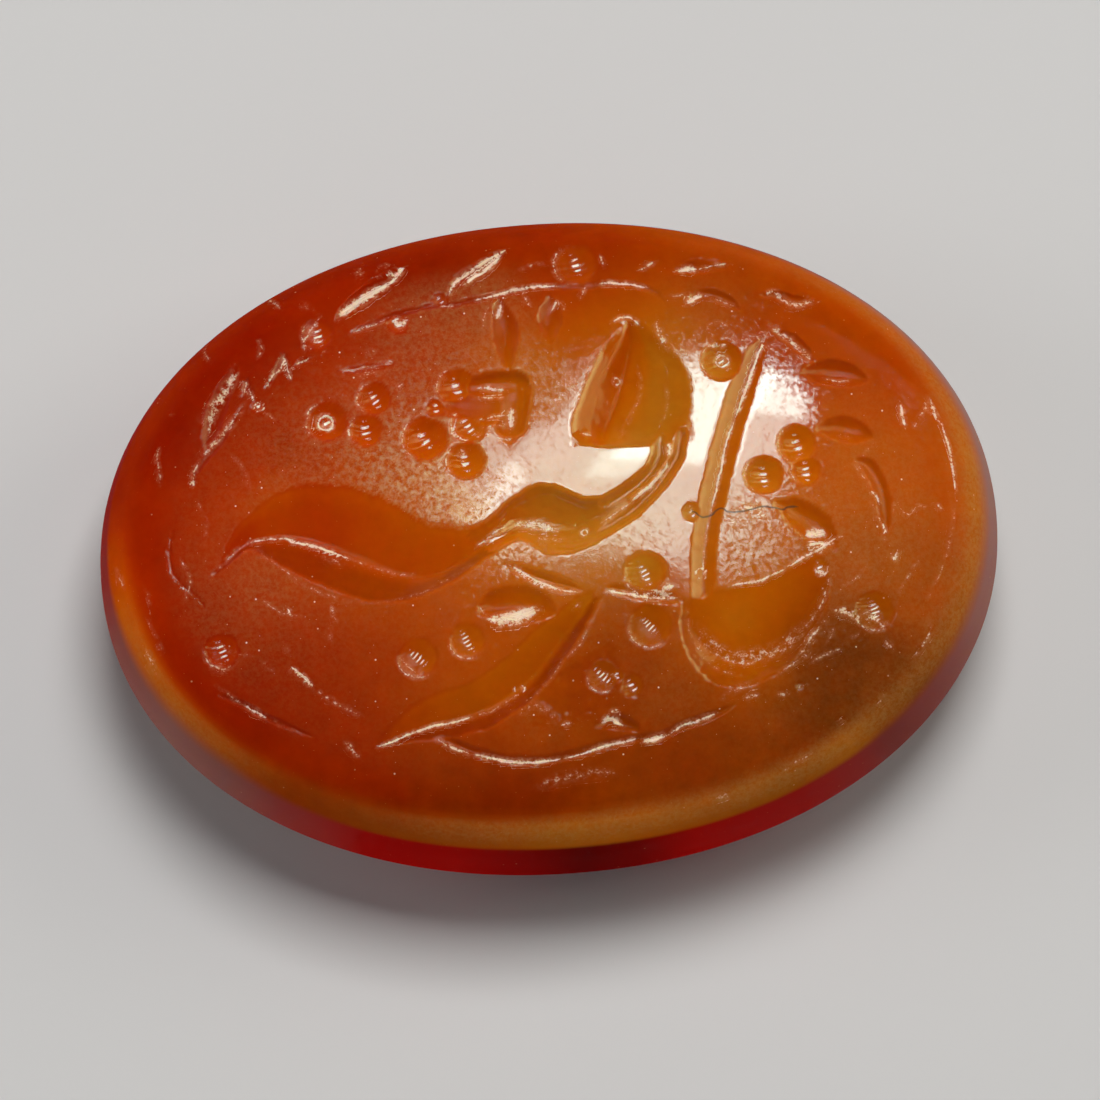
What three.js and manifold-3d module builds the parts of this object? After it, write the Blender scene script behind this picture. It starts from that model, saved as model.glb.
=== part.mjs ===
// An oval carnelian ringstone with an intaglio: a figure cut into its polished, gently domed face.
// As on the real stone, ball drills make the round pits and small wheels make every other cut.
// Millimetres. The stone lies on its flat back, centred on the origin, with its length along X.
import * as THREE from "three";
import { mergeVertices } from "three/addons/utils/BufferGeometryUtils.js";
import Module from "manifold-3d";

const wasm = await Module();
wasm.setup();

// The stone
const stoneLength = 20.0;
const stoneWidth = 14.6;
const stoneThickness = 6.2;
const faceRise = 0.75; // how far the middle of the face stands above its edge
const shoulderInset = 1.1; // from the outline in to the edge of the face
const girdleHeight = 2.7; // the level where the stone is widest
const backInset = 2.2; // from the outline in to the end of the bevelled side
const backChamfer = 0.12; // the broken edge round the flat back
const ovalPower = 2.07; // 2 is an ellipse, and a little more is fuller
const stoneSegments = 56;
const domeRings = 5;
const shoulderRings = 5;
const bevelRings = 3;
const mergeDistance = 0.0005; // corners this close are one corner
const stoneColour = 0xb4450b;
const stoneRoughness = 0.18;

// How the shoulder and the bevel bend between their ends
const shoulderRoundShare = 0.6;
const bevelDropShares = { straight: 0.72, low: 0.55, reach: 0.25 };

// Ball drills: how far each goes in, and where, as shares of the half length and the half width
const broadBallRadius = 0.53;
const broadBallSink = 0.34;
const ballRadius = 0.48;
const ballSink = 0.31;
const smallBallRadius = 0.4;
const smallBallSink = 0.25;
const fineBallRadius = 0.29;
const fineBallSink = 0.17;
const pointRadius = 0.18;
const pointSink = 0.09;
const ballSegments = 10;
const ballRings = 8;
const broadPitShares = [[-0.255, 0.275], [-0.468, 0.356], [0.105, 0.8], [0.21, -0.35]];
const ballPitShares = [
  [-0.177, 0.429], [-0.158, 0.306], [-0.17, 0.196], [0.412, 0.458], [0.485, 0.089], [0.563, 0.183],
  [-0.304, -0.395], [0.207, -0.192], [0.707, -0.342],
];
const smallPitShares = [
  [-0.361, 0.416], [-0.384, 0.316], [0.578, 0.098], [-0.194, -0.356], [-0.734, -0.32],
  [0.099, -0.491], [-0.476, 0.634],
];
const finePitShares = [[-0.297, 0.65], [0.161, -0.526], [0.593, -0.206], [0.32, -0.014]];
const pointPitShares = [[-0.619, 0.424], [0.332, -0.202], [-0.083, -0.506], [0.13, -0.494]];

// Wheel cuts: each has its widest width and its depth. Its path lists [x, y, w], where x and y are
// shares of the half length and the half width, and w says how much of the wheel bites there.
const cupWidth = 2.62;
const cupDepth = 0.62;
const cupPathShares = [
  [0.205, 0.605, 0.2], [0.214, 0.56, 0.42], [0.22, 0.51, 0.6], [0.222, 0.445, 0.8],
  [0.216, 0.385, 0.92], [0.206, 0.325, 0.99], [0.2, 0.265, 1], [0.203, 0.215, 0.9],
];
const bladeWidth = 2.64;
const bladeDepth = 0.5;
const bladePathShares = [
  [0.29, 0.26, 0.2], [0.286, 0.19, 0.3], [0.262, 0.11, 0.26], [0.228, 0.068, 0.26],
  [0.186, 0.03, 0.29], [0.135, -0.006, 0.34], [0.092, -0.02, 0.45], [0.05, -0.02, 0.57],
  [0.008, -0.01, 0.62], [-0.04, -0.002, 0.47], [-0.076, -0.012, 0.33], [-0.11, -0.042, 0.28],
  [-0.145, -0.065, 0.35], [-0.184, -0.082, 0.45], [-0.232, -0.085, 0.62], [-0.284, -0.073, 0.8],
  [-0.342, -0.055, 0.92], [-0.41, -0.03, 1], [-0.488, 0, 0.9], [-0.555, 0.014, 0.75],
  [-0.61, 0.03, 0.55], [-0.66, 0.03, 0.29], [-0.7, -0.01, 0.13], [-0.755, -0.1, 0.03],
];
const staffWidth = 0.58;
const staffDepth = 0.22;
const staffPathShares = [
  [0.515, 0.535, 0.1], [0.492, 0.475, 0.5], [0.462, 0.385, 0.85], [0.437, 0.28, 0.95],
  [0.41, 0.16, 1], [0.385, 0.05, 1], [0.362, -0.05, 1], [0.347, -0.15, 1], [0.335, -0.25, 0.8],
];
const bowlWidth = 1.7;
const bowlDepth = 0.42;
const bowlPathShares = [
  [0.312, -0.27, 0.3], [0.345, -0.335, 0.8], [0.4, -0.362, 0.97], [0.455, -0.35, 1],
  [0.51, -0.315, 0.85], [0.56, -0.26, 0.5], [0.592, -0.2, 0.15],
];
const bowlRimWidth = 0.5;
const bowlRimDepth = 0.1;
const bowlRimPathShares = [
  [0.29, -0.3, 0.4], [0.285, -0.4, 0.8], [0.302, -0.47, 1], [0.347, -0.525, 1], [0.409, -0.54, 1],
  [0.465, -0.52, 1], [0.511, -0.48, 1], [0.545, -0.43, 0.8], [0.58, -0.36, 0.4],
];
const lowerBladeWidth = 0.96;
const lowerBladeDepth = 0.3;
const lowerBladePathShares = [
  [-0.402, -0.653, 0.06], [-0.35, -0.622, 0.6], [-0.277, -0.592, 0.8], [-0.2, -0.568, 0.9],
  [-0.108, -0.528, 0.95], [-0.03, -0.463, 1], [0.03, -0.378, 0.8], [0.075, -0.295, 0.5],
  [0.108, -0.232, 0.1],
];
const lineWidth = 0.2;
const lineDepth = 0.09;
const groundPathShares = [
  [-0.312, -0.637, 0.3], [-0.25, -0.66, 1], [-0.184, -0.705, 1], [-0.1, -0.735, 1], [0, -0.728, 1],
  [0.1, -0.703, 1], [0.2, -0.693, 1], [0.265, -0.66, 1], [0.345, -0.625, 0.9], [0.384, -0.596, 0.3],
];
const branchPathShares = [
  [-0.4, 0.631, 0.3], [-0.337, 0.655, 0.8], [-0.224, 0.697, 0.8], [-0.117, 0.708, 0.8],
  [0.02, 0.731, 0.8], [0.11, 0.724, 0.8], [0.199, 0.727, 0.8], [0.255, 0.708, 0.7],
  [0.296, 0.656, 0.3],
];
const leftBranchPathShares = [
  [-0.652, 0.432, 0.3], [-0.703, 0.328, 0.7], [-0.761, 0.242, 0.7], [-0.776, 0.18, 0.6],
];
const lowGroovePathShares = [
  [-0.745, -0.454, 0.3], [-0.702, -0.484, 0.7], [-0.649, -0.53, 0.7], [-0.607, -0.563, 0.6],
  [-0.553, -0.599, 0.3],
];
const barPathShares = [
  [0.128, -0.236, 0.3], [0.18, -0.25, 1], [0.226, -0.261, 1], [0.28, -0.271, 0.3],
];
const thinLeafPathShares = [[-0.099, -0.135, 0.2], [-0.02, -0.175, 1], [0.066, -0.231, 0.2]];
const blockWidth = 0.72;
const blockDepth = 0.3;
const blockAcrossPathShares = [
  [-0.145, 0.424, 0.7], [-0.1, 0.42, 0.95], [-0.038, 0.412, 0.95], [-0.018, 0.41, 0.6],
];
const blockDownPathShares = [
  [-0.05, 0.435, 0.8], [-0.055, 0.37, 1], [-0.063, 0.29, 0.95], [-0.066, 0.245, 0.4],
];
const leafWidth = 0.32;
const leafDepth = 0.13;
const leafPathShares = [
  [[-0.429, 0.69, 0.15], [-0.38, 0.74, 0.9], [-0.33, 0.79, 1], [-0.275, 0.836, 0.15]],
  [[-0.19, 0.713, 0.15], [-0.14, 0.765, 0.9], [-0.09, 0.82, 1], [-0.047, 0.866, 0.15]],
  [[0.323, 0.752, 0.2], [0.39, 0.768, 1], [0.457, 0.775, 0.2]],
  [[0.344, 0.649, 0.2], [0.374, 0.676, 0.8], [0.41, 0.66, 1], [0.456, 0.623, 0.2]],
  [[0.511, 0.661, 0.2], [0.55, 0.665, 0.8], [0.59, 0.645, 0.7], [0.632, 0.64, 0.2]],
  [[0.534, 0.546, 0.2], [0.575, 0.505, 0.9], [0.611, 0.45, 0.2]],
  [[0.078, -0.635, 0.2], [0.122, -0.639, 1], [0.166, -0.643, 0.2]],
  [[0.692, 0.116, 0.2], [0.722, 0.085, 0.9], [0.738, 0.03, 1], [0.745, -0.04, 1],
    [0.744, -0.099, 0.2]],
];
const broadLeafWidth = 0.72;
const broadLeafDepth = 0.2;
const broadLeafPathShares = [
  [[0.577, 0.405, 0.1], [0.615, 0.406, 0.7], [0.652, 0.397, 0.85], [0.69, 0.387, 0.7],
    [0.727, 0.382, 0.1]],
  [[0.595, 0.241, 0.1], [0.63, 0.234, 0.7], [0.667, 0.224, 0.87], [0.704, 0.213, 0.7],
    [0.739, 0.204, 0.1]],
  [[0.504, -0.006, 0.3], [0.55, -0.035, 1], [0.595, -0.07, 1], [0.63, -0.125, 0.3]],
  [[-0.073, 0.69, 0.2], [-0.072, 0.62, 0.6], [-0.066, 0.54, 1], [-0.061, 0.477, 0.5]],
  [[0.041, 0.69, 0.3], [0.039, 0.63, 0.8], [0.036, 0.56, 0.3]],
  [[-0.667, 0.547, 0.2], [-0.685, 0.48, 0.6], [-0.71, 0.39, 0.7], [-0.728, 0.316, 0.2]],
  [[-0.162, -0.275, 0.1], [-0.12, -0.262, 0.9], [-0.079, -0.262, 1.15], [-0.035, -0.268, 0.9],
    [0.004, -0.29, 0.1]],
];
const hollowWidth = 2.0;
const hollowDepth = 0.14;
const hollowPathShares = [
  [-0.545, -0.26, 0.3], [-0.49, -0.34, 0.9], [-0.43, -0.44, 1], [-0.37, -0.54, 0.3],
];

// Across a wheel cut: the places of the section's corners, from its deepest line at 0 to its edges
// at 1. Past 1 the wheel is clear of the face. A leaning wheel cuts deepest to one side.
const sectionShares = [-1.3, -0.8, -0.28, 0.28, 0.8, 1.3];
const bladeLeanShare = 0.35;
const lowerBladeLeanShare = -0.35;
const cupLeanShare = 0.25;
const uprightShare = 0;
const pathTensionShare = 0.5;
const longSteps = 30;
const middleSteps = 12;
const shortSteps = 5;

const halfLength = stoneLength / 2;
const halfWidth = stoneWidth / 2;
const faceRadius = halfLength - shoulderInset;
const faceEdgeHeight = stoneThickness - faceRise;
const faceEdgeSlope = (2 * faceRise) / faceRadius;
const backRadius = halfLength - backInset;

const shoulderCurve = new THREE.CubicBezierCurve(
  new THREE.Vector2(faceRadius, faceEdgeHeight),
  new THREE.Vector2(
    faceRadius + shoulderInset * shoulderRoundShare,
    faceEdgeHeight - shoulderInset * shoulderRoundShare * faceEdgeSlope,
  ),
  new THREE.Vector2(halfLength, girdleHeight + (faceEdgeHeight - girdleHeight) * shoulderRoundShare),
  new THREE.Vector2(halfLength, girdleHeight),
);
const bevelCurve = new THREE.CubicBezierCurve(
  new THREE.Vector2(halfLength, girdleHeight),
  new THREE.Vector2(halfLength, girdleHeight * bevelDropShares.straight),
  new THREE.Vector2(halfLength - backInset * bevelDropShares.reach, girdleHeight * bevelDropShares.low),
  new THREE.Vector2(backRadius, backChamfer),
);

// Distance from the centre to the outline in a direction
function outlineRadius(angle) {
  const along = Math.abs(Math.cos(angle)) / halfLength;
  const across = Math.abs(Math.sin(angle)) / halfWidth;
  return (along ** ovalPower + across ** ovalPower) ** (-1 / ovalPower);
}

// The domed face's height at a radius on the long axis
function domeHeight(radius) {
  return stoneThickness - faceRise * (radius / faceRadius) ** 2;
}

// The face's height at a place: the shoulder keeps its inset all round, and the dome fills the rest
function faceHeight(x, y) {
  const outline = outlineRadius(Math.atan2(y, x));
  const share = Math.hypot(x, y) / (outline - shoulderInset);
  return domeHeight(faceRadius * share);
}

// The half profile, from the middle of the back round the side to the middle of the face
function stoneProfile() {
  const points = [new THREE.Vector2(0, 0), new THREE.Vector2(backRadius - backChamfer, 0)];
  points.push(...bevelCurve.getPoints(bevelRings).reverse());
  points.push(...shoulderCurve.getPoints(shoulderRings).reverse().slice(1));
  for (let ring = domeRings - 1; ring > 0; ring -= 1) {
    const radius = (faceRadius * ring) / domeRings;
    points.push(new THREE.Vector2(radius, domeHeight(radius)));
  }
  points.push(new THREE.Vector2(0, stoneThickness));
  return points;
}

// Where a ring of the profile lies in one direction: the side and the back keep their inset from
// the outline all round, and the rings of the dome shrink alike
function placedRadius(radius, height, outline) {
  if (radius > 0 && height < faceEdgeHeight) {
    return outline - (halfLength - radius);
  }
  return (radius / faceRadius) * (outline - shoulderInset);
}

// Turns the profile, and draws the round solid in to the oval
function stoneGeometry() {
  const geometry = new THREE.LatheGeometry(stoneProfile(), stoneSegments);
  geometry.rotateX(Math.PI / 2);
  const position = geometry.attributes.position;
  for (let i = 0; i < position.count; i += 1) {
    const x = position.getX(i);
    const y = position.getY(i);
    const angle = Math.atan2(y, x);
    const placed = placedRadius(Math.hypot(x, y), position.getZ(i), outlineRadius(angle));
    position.setXY(i, Math.cos(angle) * placed, Math.sin(angle) * placed);
  }
  return geometry;
}

// One ball drill held over a place on the face and sunk into it
function drillGeometry(placeShare, radius, sink) {
  const x = placeShare[0] * halfLength;
  const y = placeShare[1] * halfWidth;
  const geometry = new THREE.SphereGeometry(radius, ballSegments, ballRings);
  geometry.rotateX(Math.PI / 2);
  geometry.translate(x, y, faceHeight(x, y) + radius - sink);
  return geometry;
}

// One wheel cut: a closed loft of rounded sections laid along a path on the face
function wheelGeometry(pathShares, width, depth, leanShare, steps) {
  const path = new THREE.CatmullRomCurve3(
    pathShares.map(([x, y, bite]) => new THREE.Vector3(x * halfLength, y * halfWidth, bite)),
    false,
    "catmullrom",
    pathTensionShare,
  );
  const corners = sectionShares.length;
  const positions = [];
  const indices = [];
  for (let step = 0; step <= steps; step += 1) {
    const place = path.getPoint(step / steps);
    const way = path.getTangent(step / steps);
    const wayLength = Math.hypot(way.x, way.y);
    for (const share of sectionShares) {
      const sideShare = leanShare + share * (share < 0 ? 1 + leanShare : 1 - leanShare);
      const side = (sideShare * place.z * width) / 2;
      const x = place.x - (way.y / wayLength) * side;
      const y = place.y + (way.x / wayLength) * side;
      positions.push(x, y, faceHeight(x, y) - depth * place.z * (1 - share ** 2));
    }
  }
  for (let step = 0; step < steps; step += 1) {
    for (let corner = 0; corner < corners; corner += 1) {
      const a = step * corners + corner;
      const b = step * corners + ((corner + 1) % corners);
      indices.push(a, b, a + corners, b, b + corners, a + corners);
    }
  }
  const last = steps * corners;
  for (let corner = 1; corner < corners - 1; corner += 1) {
    indices.push(0, corner + 1, corner);
    indices.push(last, last + corner, last + corner + 1);
  }
  const geometry = new THREE.BufferGeometry();
  geometry.setAttribute("position", new THREE.Float32BufferAttribute(positions, 3));
  geometry.setIndex(indices);
  return geometry;
}

function toSolid(geometry) {
  geometry.deleteAttribute("normal");
  geometry.deleteAttribute("uv");
  const merged = mergeVertices(geometry, mergeDistance);
  const mesh = new wasm.Mesh({
    numProp: 3,
    vertProperties: merged.attributes.position.array,
    triVerts: Uint32Array.from(merged.index.array),
  });
  return new wasm.Manifold(mesh);
}

function toGeometry(solid) {
  const mesh = solid.getMesh();
  const geometry = new THREE.BufferGeometry();
  geometry.setAttribute("position", new THREE.BufferAttribute(mesh.vertProperties, 3));
  geometry.setIndex(new THREE.BufferAttribute(mesh.triVerts, 1));
  geometry.computeVertexNormals();
  return geometry;
}

const drills = [
  [broadPitShares, broadBallRadius, broadBallSink],
  [ballPitShares, ballRadius, ballSink],
  [smallPitShares, smallBallRadius, smallBallSink],
  [finePitShares, fineBallRadius, fineBallSink],
  [pointPitShares, pointRadius, pointSink],
];

const wheelCuts = [
  [cupPathShares, cupWidth, cupDepth, cupLeanShare, middleSteps],
  [bladePathShares, bladeWidth, bladeDepth, bladeLeanShare, longSteps],
  [staffPathShares, staffWidth, staffDepth, uprightShare, middleSteps],
  [bowlPathShares, bowlWidth, bowlDepth, uprightShare, middleSteps],
  [bowlRimPathShares, bowlRimWidth, bowlRimDepth, uprightShare, middleSteps],
  [lowerBladePathShares, lowerBladeWidth, lowerBladeDepth, lowerBladeLeanShare, middleSteps],
  [groundPathShares, lineWidth, lineDepth, uprightShare, middleSteps],
  [branchPathShares, lineWidth, lineDepth, uprightShare, middleSteps],
  [leftBranchPathShares, lineWidth, lineDepth, uprightShare, shortSteps],
  [lowGroovePathShares, lineWidth, lineDepth, uprightShare, shortSteps],
  [barPathShares, lineWidth, lineDepth, uprightShare, shortSteps],
  [thinLeafPathShares, lineWidth, lineDepth, uprightShare, shortSteps],
  [blockAcrossPathShares, blockWidth, blockDepth, uprightShare, shortSteps],
  [blockDownPathShares, blockWidth, blockDepth, uprightShare, shortSteps],
  [hollowPathShares, hollowWidth, hollowDepth, uprightShare, shortSteps],
];
for (const shares of leafPathShares) {
  wheelCuts.push([shares, leafWidth, leafDepth, uprightShare, shortSteps]);
}
for (const shares of broadLeafPathShares) {
  wheelCuts.push([shares, broadLeafWidth, broadLeafDepth, uprightShare, shortSteps]);
}

function cutStone() {
  let stone = toSolid(stoneGeometry());
  for (const [pathShares, width, depth, leanShare, steps] of wheelCuts) {
    stone = stone.subtract(toSolid(wheelGeometry(pathShares, width, depth, leanShare, steps)));
  }
  for (const [pitShares, radius, sink] of drills) {
    for (const placeShare of pitShares) {
      stone = stone.subtract(toSolid(drillGeometry(placeShare, radius, sink)));
    }
  }
  return stone;
}

const carnelian = new THREE.MeshStandardMaterial({
  color: stoneColour,
  roughness: stoneRoughness,
  metalness: 0,
});
const gem = new THREE.Mesh(toGeometry(cutStone()), carnelian);
gem.name = "gem";

const part = new THREE.Group();
part.add(gem);

export default part;
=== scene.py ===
import math
import bpy
import numpy as np
from mathutils import Matrix, Vector


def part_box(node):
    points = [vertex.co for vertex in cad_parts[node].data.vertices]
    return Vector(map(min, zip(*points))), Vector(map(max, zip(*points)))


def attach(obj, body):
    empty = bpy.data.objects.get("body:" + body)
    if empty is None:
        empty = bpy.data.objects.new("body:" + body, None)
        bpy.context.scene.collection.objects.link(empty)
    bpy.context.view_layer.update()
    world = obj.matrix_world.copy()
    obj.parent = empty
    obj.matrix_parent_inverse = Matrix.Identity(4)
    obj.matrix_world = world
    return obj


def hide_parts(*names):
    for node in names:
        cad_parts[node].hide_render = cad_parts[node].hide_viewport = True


# An oval carnelian ringstone lying on its flat back: one closed mesh with its figure cut into the
# domed face. Lengths are millimetres. Places of cuts, pits and strokes are thousandths of the half
# length and of the half width, and places of zones are shares of them. The points of cuts, pits
# and strokes were picked by eye on the photograph, and a separate script converted them.
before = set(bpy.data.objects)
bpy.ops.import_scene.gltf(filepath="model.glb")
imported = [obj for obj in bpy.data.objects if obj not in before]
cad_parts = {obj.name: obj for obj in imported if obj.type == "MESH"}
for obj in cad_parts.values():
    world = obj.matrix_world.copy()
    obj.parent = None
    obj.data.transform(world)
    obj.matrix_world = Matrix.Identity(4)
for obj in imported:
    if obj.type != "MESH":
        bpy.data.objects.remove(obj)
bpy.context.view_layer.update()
mm = 0.001
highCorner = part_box("gem")[1]
halfLength = highCorner.x / mm
halfWidth = highCorner.y / mm
print("frame loaded, stone", round(2 * halfLength, 3), "by", round(2 * halfWidth, 3), "mm")

stone = {
    "thickness": 6.2,
    "faceRise": 0.75,
    "shoulderInset": 1.1,
    "girdleHeight": 2.7,
    "backInset": 2.2,
    "backChamfer": 0.12,
    "ovalPower": 2.07,
    "shoulderRound": 0.6,
    "bevelStraight": 0.72,
    "bevelLow": 0.55,
    "bevelReach": 0.25,
    "gridAcross": 336,
    "gridUp": 240,
    "fineRings": 7,
    "coarseEvery": 4,
    "shoulderSteps": 14,
    "bevelSteps": 9,
    "backRings": 6,
    "edgeWear": 0.012,
    "edgeChips": 0.013,
    "chipDepth": 0.03,
    "chipWaves": (0.13, 0.07, 0.6, 21, 22),     # two sizes, share of the finer one, two seeds
    "edgeWander": 0.012,
    "wanderX": (0.17, 0.09, 0.9, 51, 52),
    "wanderY": (0.17, 0.09, 0.9, 53, 54),
    "faceUneven": 0.0035,
    "faceWaves": (2.6, 1.1, 0.4, 3, 8),
    "faceSink": 0.011,
    "faceEdgeFade": 0.1,
    "strokesAboveGirdle": 0.5,
}

# Five wide cuts. Each is lofted through guide lines from one border to the other, and a point is
# (x, y, share of the cut's depth), or (x, y) on a border. Round 0 leaves a crease along the inner
# guides. A tone for each guide is (lightness, warmth, shine); the lightness makes whole walls
# lighter or darker, painted light and shade
scoops = {
    "cup": {
        "depth": 0.5, "round": 0.12,
        "tones": [(1, 0, 1), (1, -0.1, 0.22), (1, -0.2, 0.12), (1, -0.08, 0.12), (0.95, 0, 0.12),
                  (0.95, 0, 0.12)],
        "guides": [
            [(205, 612), (173, 560), (144, 514), (119, 446), (100, 390), (79, 328), (68, 272), (76, 221)],
            [(209, 605, 0), (189, 528, 0.14), (167, 480, 0.2), (146, 428, 0.24), (128, 379, 0.26),
             (117, 329, 0.28), (110, 279, 0.26), (96, 216, 0)],
            [(215, 600, 0.1), (211, 534, 0.6), (200, 481, 0.86), (186, 424, 1), (174, 367, 1),
             (158, 317, 0.95), (142, 271, 0.8), (129, 209, 0)],
            [(222, 599, 0.08), (236, 530, 0.4), (237, 472, 0.58), (230, 417, 0.68), (216, 361, 0.7),
             (200, 315, 0.68), (180, 267, 0.6), (164, 206, 0)],
            [(230, 598, 0.06), (264, 523, 0.22), (283, 466, 0.32), (289, 403, 0.36), (283, 341, 0.38),
             (272, 290, 0.38), (254, 249, 0.36), (217, 209, 0.1)],
            [(239, 599), (270, 554), (299, 510), (321, 463), (334, 413), (337, 349), (331, 280),
             (323, 208)],
        ],
    },
    "hump": {
        "depth": 0.4, "round": 1, "marks": 0.35, "sparkle": 0.15,
        "tones": [(0.85, 0, 0.5), (0.95, 0, 1), (1.05, 0, 0.6)],
        "guides": [
            [(182, 85), (145, 59), (112, 48), (79, 53), (47, 78), (19, 98), (-7, 104), (-34, 95),
             (-62, 75), (-87, 53), (-106, 27), (-127, 6), (-147, -6), (-174, -18)],
            [(187, 48, 0.3), (147, 16, 0.42), (113, -4, 0.56), (81, -17, 0.75), (46, -21, 0.92),
             (13, -17, 1), (-16, -14, 0.98), (-40, -13, 0.9), (-65, -18, 0.75), (-87, -27, 0.58),
             (-107, -39, 0.44), (-128, -53, 0.36), (-151, -67, 0.32), (-176, -83, 0.3)],
            [(190, -12), (162, -49), (125, -71), (98, -93), (64, -111), (30, -115), (-5, -112),
             (-22, -96), (-40, -74), (-60, -62), (-82, -66), (-107, -84), (-144, -111), (-183, -144)],
        ],
    },
    "blade": {
        "depth": 0.42, "round": 0.25,
        "tones": [(1.05, 0.08, 0.3), (1.02, -0.04, 0.3), (0.72, 0, 0.3)],
        "guides": [
            [(-752, -93), (-725, -45), (-697, 32), (-666, 76), (-624, 118), (-589, 146), (-551, 162),
             (-493, 160), (-436, 147), (-384, 123), (-325, 67), (-287, 27), (-251, 3), (-214, -11),
             (-170, -19), (-132, -5), (-101, 32)],
            [(-751, -96, 0.05), (-705, -45, 0.2), (-660, 2, 0.4), (-621, 16, 0.58), (-573, 19, 0.78),
             (-522, 4, 0.92), (-466, -30, 1), (-410, -71, 1), (-372, -98, 0.96), (-335, -124, 0.9),
             (-292, -143, 0.8), (-245, -138, 0.66), (-195, -106, 0.5), (-149, -72, 0.36),
             (-105, -35, 0.3)],
            [(-750, -103), (-706, -63), (-659, -20), (-632, -45), (-600, -74), (-568, -103), (-536, -129),
             (-500, -155), (-461, -182), (-416, -209), (-368, -221), (-320, -223), (-281, -208),
             (-231, -184), (-181, -147), (-121, -98), (-88, -62)],
        ],
    },
    "lowerBlade": {
        "depth": 0.32, "round": 0.2,
        "tones": [(1.12, 0.12, 0.2), (1.1, 0.1, 0.2), (0.78, -0.08, 0.3)],
        "guides": [
            [(-412, -646), (-388, -609), (-362, -569), (-320, -531), (-268, -504), (-216, -489),
             (-169, -461), (-118, -418), (-85, -385), (-52, -344), (-10, -305), (27, -271), (61, -242),
             (93, -230)],
            [(-410, -649, 0.06), (-343, -622, 0.32), (-307, -603, 0.5), (-266, -590, 0.64),
             (-226, -583, 0.76), (-190, -569, 0.86), (-150, -551, 0.94), (-113, -528, 1), (-83, -500, 1),
             (-50, -465, 0.95), (-17, -415, 0.86), (22, -356, 0.7), (58, -297, 0.46), (89, -250, 0.12)],
            [(-406, -656), (-346, -646), (-308, -646), (-269, -650), (-233, -645), (-200, -634),
             (-153, -624), (-116, -595), (-63, -553), (-24, -503), (11, -448), (40, -396), (77, -324),
             (94, -294), (107, -253)],
        ],
    },
    "bowl": {
        "depth": 0.36, "round": 0.35,
        "tones": [(1.05, 0, 0.2), (1.05, 0, 0.2), (0.98, 0.05, 0.3)],
        "guides": [
            [(293, -281), (325, -260), (360, -253), (396, -250), (432, -235), (468, -230), (506, -211),
             (543, -188), (578, -156), (603, -170)],
            [(292, -299, 0.1), (298, -343, 0.5), (311, -387, 0.8), (332, -420, 0.94), (361, -448, 1),
             (400, -463, 1), (444, -457, 1), (485, -432, 0.94), (516, -399, 0.84), (540, -360, 0.68),
             (564, -318, 0.48), (589, -270, 0.28), (607, -219, 0.06)],
            [(286, -281), (276, -341), (280, -402), (292, -457), (312, -503), (341, -536), (375, -552),
             (408, -552), (438, -542), (472, -525), (499, -503), (526, -466), (545, -431), (567, -390),
             (587, -352), (603, -305), (616, -229)],
        ],
    },
}

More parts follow.
